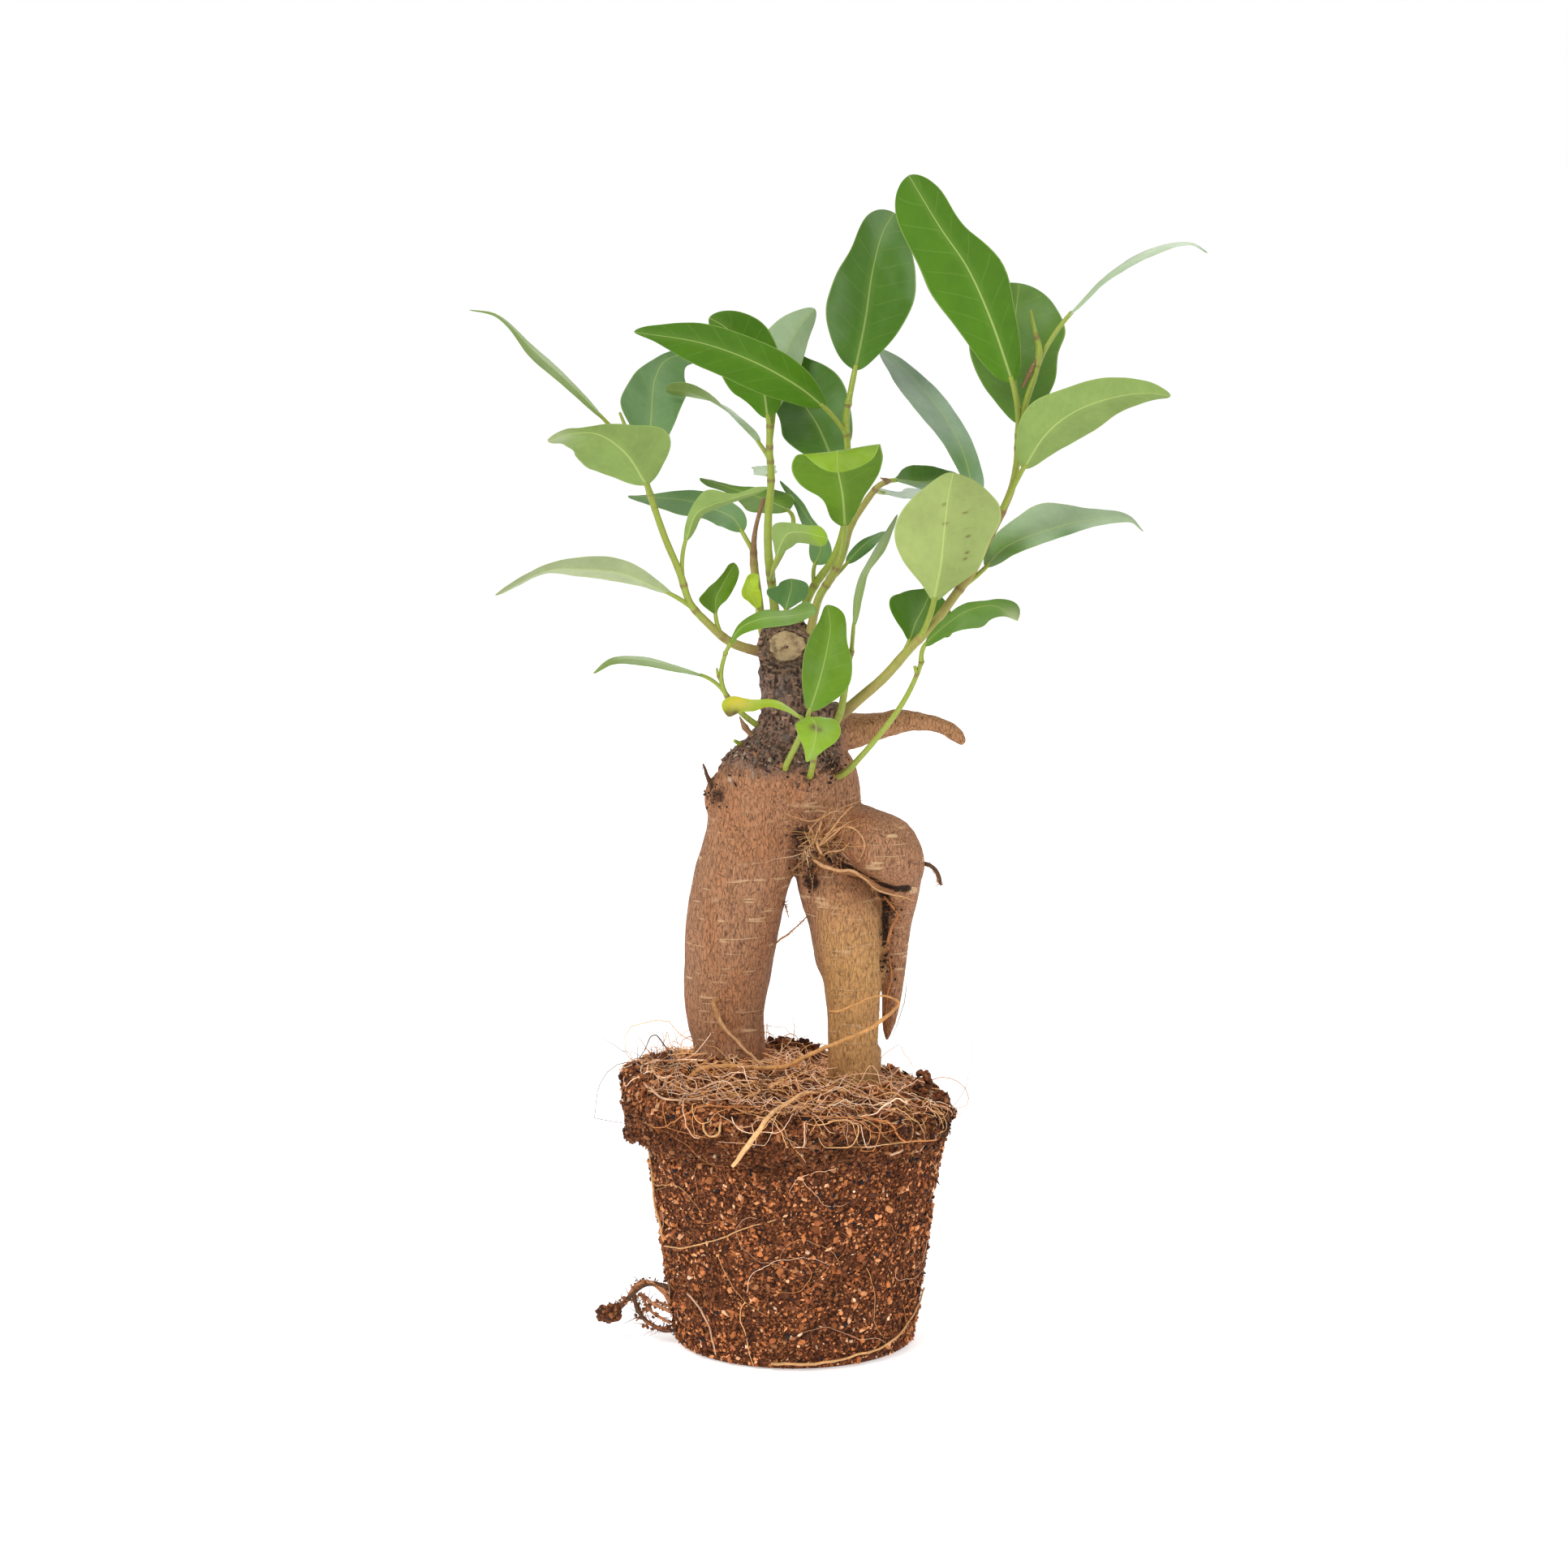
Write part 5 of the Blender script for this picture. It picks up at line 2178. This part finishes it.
    def stalk(self, leaf: Blade, steps: int = 24) -> tuple[np.ndarray, np.ndarray]:
        """Axis of a leaf stalk: a parabola from its stem that meets the midrib without a kink.

        Args:
            leaf: The leaf it carries.
            steps: Points along it.

        Returns:
            Axis points and radii.
        """
        start = along_curve(self.shoot.stems[0].path, np.array([leaf.at]))[0][0]
        near = along_curve(leaf.rib, np.array([0.0, 0.03, 0.06]))[0]
        foot = near[1]
        way = unit(near[2] - near[0])
        bend = foot - way * np.linalg.norm(foot - start) / 2
        t = np.linspace(0, 1, steps)[:, None]
        path = (1 - t) ** 2 * start + 2 * t * (1 - t) * bend + t**2 * foot
        thick = 0.62 + 0.012 * leaf.width
        ends = 1 + 0.35 * bell(t[:, 0], 0.12) - 0.1 * smoothstep(0.6, 1, t[:, 0])
        return path, thick * ends

    def woody(self) -> Shape:
        """Stems, leaf stalks and buds, with their age and their nodes.

        Returns:
            One shape with all of them.
        """
        parts = []
        feet = [leaf.at for leaf in self.shoot.blades]
        for number, stem in enumerate(self.shoot.stems):
            steps = 90
            path, radii = drawn(stem.path, stem.radii, steps)
            run = run_along(path)
            joints = np.array(feet if number == 0 else [0.5]) * run[-1]
            faint = np.arange(11, run[-1], 21)
            ring = bell(run[:, None] - joints, 0.9).sum(1) + 0.45 * bell(run[:, None] - faint, 0.7).sum(1)
            ring = np.clip(ring, 0, 1)
            radii = radii * (1 + 0.12 * ring + 0.05 * cloud(path, 3, 2, 61)) * 0.97
            age = 0.5 * smoothstep(1.2, 2.4, radii) + 0.35 * smoothstep(0.4, 0.0, run / run[-1])
            age = age + spread_out(run / run[-1], stem.age)
            values = {"age": np.clip(age, 0, 1.3)[None], "ring": ring[None]}
            parts.append(tubes(path[None], radii[None], 16, values))
        stalks = [self.stalk(leaf) for leaf in self.shoot.blades]
        paths = np.stack([p for p, _ in stalks])
        radii = np.stack([r for _, r in stalks])
        share = np.linspace(0, 1, paths.shape[1])
        age = np.repeat((0.1 * smoothstep(0.2, 0, share))[None], len(stalks), 0)
        ring = np.repeat((0.5 * bell(share, 0.05))[None], len(stalks), 0)
        parts.append(tubes(paths, radii, 12, {"age": age, "ring": ring}))
        return Shape.join(parts)

    def build(self, leaf_finish: bpy.types.Material, stem_finish: bpy.types.Material) -> None:
        """Make the shoot's two pieces.

        Args:
            leaf_finish: Material of the blades.
            stem_finish: Material of the stems.
        """
        short = self.name.removeprefix("shoot_")
        blades = Shape.join([self.blade(leaf, k) for k, leaf in enumerate(self.shoot.blades)])
        place_piece(f"blades_{short}", blades, leaf_finish, Slot.LEAF, self.name)
        place_piece(f"stems_{short}", self.woody(), stem_finish, Slot.STEM, self.name)


@dataclass(frozen=True)
class Lamp:
    """A soft box.

    Attributes:
        name: Its name.
        at: Its place in metres.
        aim: The point it faces.
        size: Its side in metres.
        power: Its power in watts.
    """

    name: str
    at: Point
    aim: Point
    size: float
    power: float


@dataclass
class Studio:
    """White floor, white surroundings, soft boxes and the camera of the photo.

    Attributes:
        floor_side: Side of the floor in metres.
        floor_level: Height of the floor in millimetres, just under the root ball.
        surround: Light that the white surroundings cast. Seen directly they are full white.
        lamps: The soft boxes.
        camera_at: Place of the camera in metres.
        pitch: Its turn from straight down, in degrees.
        focal: Pixels of focal length at the photo's width.
        photo_width: Width of the photo in pixels.
        sensor: Width of the camera's sensor in millimetres.
    """

    floor_side: float = 60.0
    floor_level: float = -0.2
    surround: float = 0.55
    lamps: Sequence[Lamp] = (
        Lamp("key", (-0.8, -1.2, 1.5), (0, 0, 0.2), 0.7, 17.0),
        Lamp("fill", (1.3, -0.9, 0.8), (0, 0, 0.2), 1.0, 3.0),
        Lamp("back", (0.3, 1.4, 1.3), (0, 0, 0.25), 1.0, 8.0),
    )
    camera_at: Point = (-0.0036, -1.432, 0.424)
    pitch: float = 80.95
    focal: float = 5206.0
    photo_width: float = 1932.0
    sensor: float = 36.0

    def build(self) -> None:
        """Make the floor, the light and the camera."""
        side = self.floor_side / 2 / MM
        square = ((-1, -1), (1, -1), (1, 1), (-1, 1))
        corners = np.array([(x * side, y * side, self.floor_level) for x, y in square])
        mesh = Shape(corners, quads=np.array([[0, 1, 2, 3]])).mesh("floor")
        mesh.materials.append(FloorFinish().material())
        floor = add_object("floor", mesh)
        world = bpy.data.worlds.new("studio")
        world.use_nodes = True
        backdrop = world.node_tree.nodes["Background"]
        backdrop.inputs["Color"].default_value = (1, 1, 1, 1)
        backdrop.inputs["Strength"].default_value = self.surround
        white = world.node_tree.nodes.new("ShaderNodeBackground")
        seen = world.node_tree.nodes.new("ShaderNodeLightPath")
        choice = world.node_tree.nodes.new("ShaderNodeMixShader")
        links = world.node_tree.links
        links.new(seen.outputs["Is Camera Ray"], choice.inputs[0])
        links.new(backdrop.outputs[0], choice.inputs[1])
        links.new(white.outputs[0], choice.inputs[2])
        links.new(choice.outputs[0], world.node_tree.nodes["World Output"].inputs["Surface"])
        white.inputs["Color"].default_value = (1, 1, 1, 1)
        bpy.context.scene.world = world
        for lamp in self.lamps:
            light = bpy.data.lights.new(lamp.name, "AREA")
            light.shape = "SQUARE"
            light.size = lamp.size
            light.energy = lamp.power
            holder = add_object(lamp.name, light)
            holder.location = lamp.at
            way = Vector(lamp.aim) - Vector(lamp.at)
            holder.rotation_euler = way.to_track_quat("-Z", "Y").to_euler()
        lens = bpy.data.cameras.new("photo_camera")
        lens.sensor_width = self.sensor
        lens.lens = self.sensor * self.focal / self.photo_width
        lens.clip_end = 200.0
        camera = add_object("photo_camera", lens)
        camera.location = self.camera_at
        camera.rotation_euler = (np.radians(self.pitch), 0.0, 0.0)
        bpy.context.scene.camera = camera
        bpy.context.scene.view_settings.view_transform = "Standard"


def main() -> None:
    """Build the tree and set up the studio."""
    logging.basicConfig(level=logging.INFO, format="%(message)s")
    trunk = Trunk(LIMBS, TRUNK_ROOTS)
    trunk.build()
    Rootlets(list(LIMBS.values()), TRUNK_ROOTS, FIBRES, HAIRS, trunk.dirt).build()
    RootBall(BALL_ROOTS, LUMPS).build()
    leaf_finish = LeafFinish().material()
    stem_finish = StemFinish().material()
    for name, shoot in SHOOTS.items():
        Greenery(name, shoot).build(leaf_finish, stem_finish)
    Studio().build()


if __name__ == "__main__":
    main()
